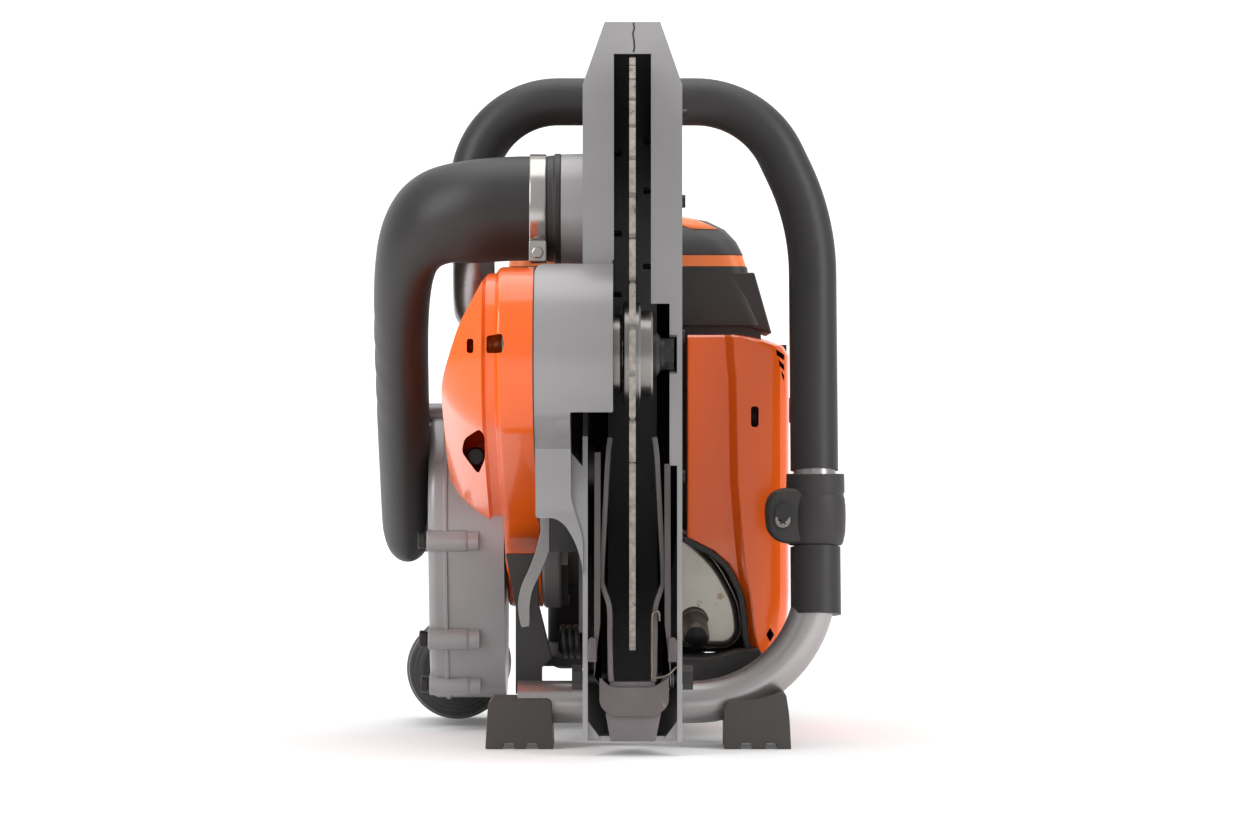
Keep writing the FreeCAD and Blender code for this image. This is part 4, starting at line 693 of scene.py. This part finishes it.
# Dark plates behind the gaps between covers: they stand for the unlit inside and are no part of the machine.
for number, (x0, x1, z0, z1, depth) in enumerate((
        (26, 78, 52, 128, 211), (26, 36, 122, 257, 202), (84, 96.5, 222, 246, 177), (80, 91, 57, 74, 181))):
    plate(f"light_stop_{number}", "Y", (depth, depth + 1.6), [(x0, z0), (x1, z0), (x1, z1), (x0, z1)], "guard_inside",
          slot="dark_plastic", bevel=0.3)
# A near-black plate behind the cover's oblong hole: painted shade for the unlit inside, no part of the machine.
plate("starter_hole_back", "Y", (172, 174), [(71, 190), (82, 190), (82, 212), (71, 212)], "guard_inside",
      slot="dark_plastic")
bay_line = spline([(33, 126.5), (40, 122.5), (50.2, 117.3), (59.5, 109.3), (64.9, 100), (68.9, 90.7), (70.6, 79),
                   (72, 64), (75.6, 51)], 5)
soften(starter, 0.9, 28)
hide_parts("starter_cover")
strip("bay_gasket", [(x - 1.2, z - 1.6) for x, z in bay_line], 2.0, (164, 206), "black_rubber", bevel=0.8)

# ------------------------------------------------------------------ top cover

TOP_LEVELS = [  # z, left x, right x, front y, rear y, corner radius
    (258.5, -80, 84.5, 203, 394, 10), (262, -80, 83, 203, 395, 10), (275, -79.6, 78.5, 203, 396, 12),
    (291, -79, 73.4, 204, 397, 14), (295.6, -78.8, 72.8, 204, 397, 14), (296, -78.2, 71.8, 204.6, 396.4, 14),
    (303, -77.4, 69.6, 205.5, 395, 15), (303.4, -77.8, 70.2, 205, 395.4, 15), (312, -73.5, 66, 209, 391, 18),
    (320, -67, 59, 216, 384, 22), (326, -56, 48, 226, 374, 26), (329.4, -40, 32, 240, 360, 28),
    (330, -22, 16, 256, 344, 28),
]


def top_rings(levels):
    rings = []
    for z, left, right, near, far, radius in levels:
        outline = round_corners([(left, near), (right, near), (right, far), (left, far)], radius, 8)
        rings.append([at(x, y, z) for x, y in outline])
    return rings


verts, faces = skin(top_rings(TOP_LEVELS))
top_body = make("top_body", verts, faces, "dark_plastic", bevel=0.6, angle=25)
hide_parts("top_cover")
stripe_levels = [(z, left - 0.3, right + 0.3, near - 0.3, far + 0.3, radius)
                 for z, left, right, near, far, radius in TOP_LEVELS[5:7]]
verts, faces = skin(top_rings(stripe_levels), caps=False)
make("top_stripe", verts, faces, "stripe", slot="orange")
# A dark plate behind the gap under the top cover: painted shade for the unlit inside, no part of the machine.
plate("cover_baffle", "Y", (206, 209), [(-74, 245), (82, 245), (80, 262), (-74, 262)], "dark_plastic", bevel=0.4)
skirt_edge = [(62, 261), (88, 253.4), (77, 292), (62, 292)]
plate("top_skirt", "Y", (204, 330), skirt_edge, "dark_plastic", bevel=1.0)
patch = []
for z, left, right, near, far, radius in TOP_LEVELS[9:12]:
    outline = round_corners([(left, near), (right, near), (right, far), (left, far)], radius, 8)[9:14]
    patch.append([at(x + 0.3, y - 0.3, z + 0.3) for x, y in outline])
verts, faces = skin(patch, closed=False, caps=False)
make("top_patch", verts, faces, "stripe", slot="orange", thick=0.5)
turned("plug_cover", "Z", [(326, 17), (330.5, 17), (331.8, 15.5), (331.8, 12), (330.4, 11)], 0, CRANK.y,
                  "dark_plastic", bevel=0.5)

# ------------------------------------------------------------------ muffler

muffler_outline = round_corners([(-24, 60), (-24, 135), (24, 135), (35, 126), (53, 109), (66, 84), (68, 64),
                                 (60, 56)],
                                [6, 6, 8, 12, 14, 14, 8, 8])
muffler_body = plate("muffler_body", "Y", (178, 209), muffler_outline, "pressed_steel", bevel=6)
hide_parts("muffler")
plate("muffler_seam", "Y", (193, 195.6), inset(muffler_outline, -1.4), "pressed_steel", bevel=0.8)
plate("muffler_riser", "Y", (199, 211), round_corners([(-26, 130), (26, 130), (26, 223), (-26, 223)], 8),
      "pressed_steel", bevel=2)
shield_outline = round_corners([(18, 54), (30, 52.5), (52, 52), (66, 56.4), (79, 57.6), (79.5, 53), (75, 46.5),
                                (66, 39), (51, 33), (31, 30), (18, 30)], [1, 3, 6, 4, 2, 3, 6, 8, 8, 4, 1])
plate("muffler_shield", "Y", (126, 200), shield_outline, "dark_plastic", bevel=2.4)
stub_from, stub_to = at(38.6, 184, 73), at(39.8, 158, 64)
tube_line = [stub_from.lerp(stub_to, k / 6) for k in range(7)]
sweep("exhaust_stub", tube_line, 8.1, "stained_steel", around=36, slot="pressed_steel")
# A near-black disc just inside the stub's mouth: painted shade for its bore.
bore_from = stub_to + (stub_to - stub_from).normalized() * 0.0006
mouth = stub_to + (stub_to - stub_from).normalized() * 0.0002
sweep("exhaust_dark", [mouth, bore_from], 6.7, "guard_inside", around=36, slot="dark_plastic")
sweep("exhaust_collar", [at(38.4, 186, 74), at(38.7, 178, 71.4)], lambda share: 11.5 - 2.2 * share, "stained_steel",
      around=36, slot="pressed_steel", bevel=0.6)

# ------------------------------------------------------------------ support arm

lever = [  # centre x, centre z, half width
    (-48.5, 140, 6.6), (-49.6, 134, 5.6), (-52.6, 127, 4.4), (-55.6, 117, 3.9), (-60, 106, 3.7), (-64.4, 96, 3.7),
    (-66.2, 86, 3.6), (-65.6, 76, 3.0), (-65.2, 72.6, 2.2),
]
lever_rows = spline(lever, 5)
left_edge, right_edge = [], []
for k, (x, z, half) in enumerate(lever_rows):
    x0, z0, _ = lever_rows[max(k - 1, 0)]
    x1, z1, _ = lever_rows[min(k + 1, len(lever_rows) - 1)]
    normal = Vector((z0 - z1, x1 - x0)).normalized() * half
    left_edge.append((x + normal.x, z + normal.y))
    right_edge.append((x - normal.x, z - normal.y))
support = plate("support_lever", "Y", (96, 109), left_edge + right_edge[::-1], "cast_alloy", bevel=1.6)
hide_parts("support_arm")

# ------------------------------------------------------------------ fan housing and dust outlet

for height in (123, 60, 30):
    depth = {123: 197, 60: 219, 30: 241}[height]
    turned(f"fan_boss_{height}", "X", [(-129.8, 5.4), (-129.2, 6.9), (-106, 7.3), (-103.6, 6.6), (-102.6, 4.6)],
           depth, height, "cast_grey", around=32, bevel=0.5)
    turned(f"fan_bolt_{height}", "X", [(-135.2, 3), (-135.2, 4.9), (-134.6, 5.4), (-130.6, 5.4), (-130.6, 4)],
           depth, height, "black_steel", around=24, bevel=0.4)

fan_line = belt_line((CRANK.y, CRANK.z, 72.7), (CRANK.y + 8, 76, 57.2))
plate("fan_flange", "X", (-119.4, -116.6), fan_line, "cast_grey", bevel=0.6)
OUTLET_X, OUTLET_Z = centre("dust_outlet").x, centre("dust_outlet").z
sleeve_profile = [(292, 15), (292, 22), (294, 23.5), (294, 26), (296, 26.5), (298, 26.8), (299, 29), (301.5, 29.6),
                  (302.5, 31.4), (306, 33), (350, 33), (351, 31), (355, 31), (356, 33), (362, 33), (363, 31),
                  (367, 31), (368, 33), (374, 33), (375, 31), (379, 31), (380, 33), (393, 33), (396, 31.5), (396, 24),
                  (372.2, 24), (372.2, 15)]
sleeve = turned("outlet_sleeve", "Y", sleeve_profile, OUTLET_X, OUTLET_Z, "black_rubber", around=72, bevel=0.5)
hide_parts("dust_outlet")
turned("outlet_web", "Y", [(286, 3), (286, 22), (287.4, 22.6), (288, 25), (290, 25.6), (290.6, 28), (293, 28.6),
                          (293.6, 30.6), (303, 31.6), (305, 31), (305, 3)], OUTLET_X, OUTLET_Z, "black_rubber",
       bevel=0.4)

# ------------------------------------------------------------------ handle clamp and feet

CLAMP = centre("handle_clamp")
barrel_rows = [(122, 16), (124, 17.2), (130, 18.4), (138, 18.7), (146, 18.6), (151, 18), (153.4, 17.2), (154.6, 18),
               (166, 17.8), (166, 16)]
clamp_x = centre("handle_sleeve").x
clamp_barrel = turned("clamp_barrel", "Z", barrel_rows, clamp_x, CLAMP.y, "dark_plastic", around=48, bevel=0.8)
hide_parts("handle_clamp")
lug = round_corners([(86, 126), (82, 132), (81, 146), (84, 154), (92, 157.5), (108, 157), (108, 124), (94, 123)], 5)
plate("clamp_lug", "Y", (CLAMP.y - 15, CLAMP.y + 14), lug, "dark_plastic", bevel=3.2)
SCREW_X, SCREW_Z = 91.6, 138.0
turned("clamp_torx", "Y", [(CLAMP.y - 18, 3), (CLAMP.y - 18.2, 4.4), (CLAMP.y - 17.4, 5.1), (CLAMP.y - 14, 5.1)],
       SCREW_X, SCREW_Z, "machined_steel", around=32, bevel=0.3)
# A thin near-black torx outline on the screw's head: painted shade for its socket.
torx = [(SCREW_X + (2.5 + 0.6 * math.cos(6 * a)) * math.cos(a), SCREW_Z + (2.5 + 0.6 * math.cos(6 * a)) * math.sin(a))
        for a in (2 * math.pi * k / 48 for k in range(48))]
plate("clamp_torx_socket", "Y", (CLAMP.y - 18.35, CLAMP.y - 18.0), torx, "guard_inside", slot="dark_plastic")

foot_left = plate("foot_pad_left", "Y", (68, 122), round_corners([(-89, 0), (-87.4, 28), (-85, 30), (-51, 30),
                                                                (-49, 28), (-48, 0)], [0.5, 3, 3, 3, 3, 0.5]),
                  "foot_plastic")
foot_right = plate("foot_pad_right", "Y", (68, 122), round_corners(
    [(55.5, 0), (55.5, 26), (58.5, 28.6), (68, 28.6), (79, 30.4), (90, 34), (93, 33), (95, 20), (96, 0)],
    [0.5, 3, 3, 4, 6, 2, 2, 6, 0.5]), "foot_plastic")
for pad, notches in ((foot_left, (-79, -65)), (foot_right, (65, 80))):
    carve(pad, [("Y", (60, 130), [(x0, -1), (x0 + 1, 3.4), (x0 + 7, 3.4), (x0 + 8, -1)]) for x0 in notches])
    soften(pad, 1.4)
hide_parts("foot_left")
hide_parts("foot_right")

# ------------------------------------------------------------------ starter rope

rope_low, rope_high = (Vector(c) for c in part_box("starter_rope"))
rope_x = (rope_low.x + rope_high.x) / 2
rope_start = Vector((rope_x, rope_low.y + 0.002, rope_low.z + 0.002))
rope_end = Vector((rope_x, rope_high.y - 0.002, rope_high.z - 0.002))
rope = sweep("pull_rope", [rope_start.lerp(rope_end, k / 40) for k in range(41)], 1.9, "cord", around=14, body=None)
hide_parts("starter_rope")
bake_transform(rope)

# ------------------------------------------------------------------ floor, light and camera

SWEEP_R = 2.5
floor_rows = [(-7.0, 0.0), (5.0, 0.0)] + [
    (5.0 + SWEEP_R * math.sin(a), SWEEP_R * (1 - math.cos(a))) for a in (math.radians(9 * k) for k in range(1, 11))
] + [(5.0 + SWEEP_R, 7.0)]
floor_mesh = bpy.data.meshes.new("floor")
floor_mesh.from_pydata([(x, y, z) for y, z in floor_rows for x in (-7.0, 7.0)], [],
                       [(2 * k, 2 * k + 1, 2 * k + 3, 2 * k + 2) for k in range(len(floor_rows) - 1)])
for face in floor_mesh.polygons:
    face.use_smooth = True
floor = bpy.data.objects.new("floor", floor_mesh)
bpy.context.collection.objects.link(floor)
floor.location.z = -0.0002
paint = surface("floor_paint", (0.86, 0.86, 0.86), rough=0.9, vary=0.005, grain=40, bump=0.0, specular=0.1)
# The sweep gives off a little light of its own, more towards the back, so that the background stays near white.
paint_tree = paint.node_tree
paint_shader = paint_tree.nodes["Principled BSDF"]
paint_shader.inputs["Emission Color"].default_value = (1, 1, 1, 1)
place = paint_tree.nodes.new("ShaderNodeTexCoord")
parts = paint_tree.nodes.new("ShaderNodeSeparateXYZ")
glow = paint_tree.nodes.new("ShaderNodeMapRange")
glow.inputs["From Min"].default_value, glow.inputs["From Max"].default_value = 0.3, 3.5
glow.inputs["To Min"].default_value, glow.inputs["To Max"].default_value = 0.1, 0.5
paint_tree.links.new(place.outputs["Object"], parts.inputs["Vector"])
paint_tree.links.new(parts.outputs["Y"], glow.inputs["Value"])
paint_tree.links.new(glow.outputs["Result"], paint_shader.inputs["Emission Strength"])
floor_mesh.materials.append(paint)

world = bpy.data.worlds.new("studio")
bpy.context.scene.world = world
world.use_nodes = True
world.node_tree.nodes["Background"].inputs["Color"].default_value = (1, 1, 1, 1)
world.node_tree.nodes["Background"].inputs["Strength"].default_value = 0.66
bpy.context.scene.view_settings.view_transform = "Standard"


def softbox(name, place, target, size_x, size_y, power):
    """An area light at place, aimed at target."""
    light = bpy.data.lights.new(name, "AREA")
    light.shape = "RECTANGLE"
    light.size, light.size_y = size_x, size_y
    light.energy = power
    obj = bpy.data.objects.new(name, light)
    bpy.context.collection.objects.link(obj)
    obj.location = place
    obj.rotation_euler = (Vector(target) - Vector(place)).to_track_quat("-Z", "Y").to_euler()
    return obj


softbox("key_left", (-1.6, -1.5, 1.4), (0, 0, 0.2), 0.9, 1.8, 27)
softbox("key_right", (1.7, -1.3, 1.2), (0, 0, 0.2), 0.7, 1.8, 21)
softbox("top_fill", (0, 0.2, 2.2), (0, 0, 0), 2.0, 2.0, 22)

camera_data = bpy.data.cameras.new("camera")
camera = bpy.data.objects.new("camera", camera_data)
bpy.context.collection.objects.link(camera)
camera.location = at(0, -CAMERA_DISTANCE, CAMERA_HEIGHT)
camera.rotation_euler = (math.radians(90), 0, 0)
camera_data.lens = 146.7
camera_data.sensor_width = 36
camera_data.shift_x = -0.008
camera_data.clip_end = 50
bpy.context.scene.camera = camera
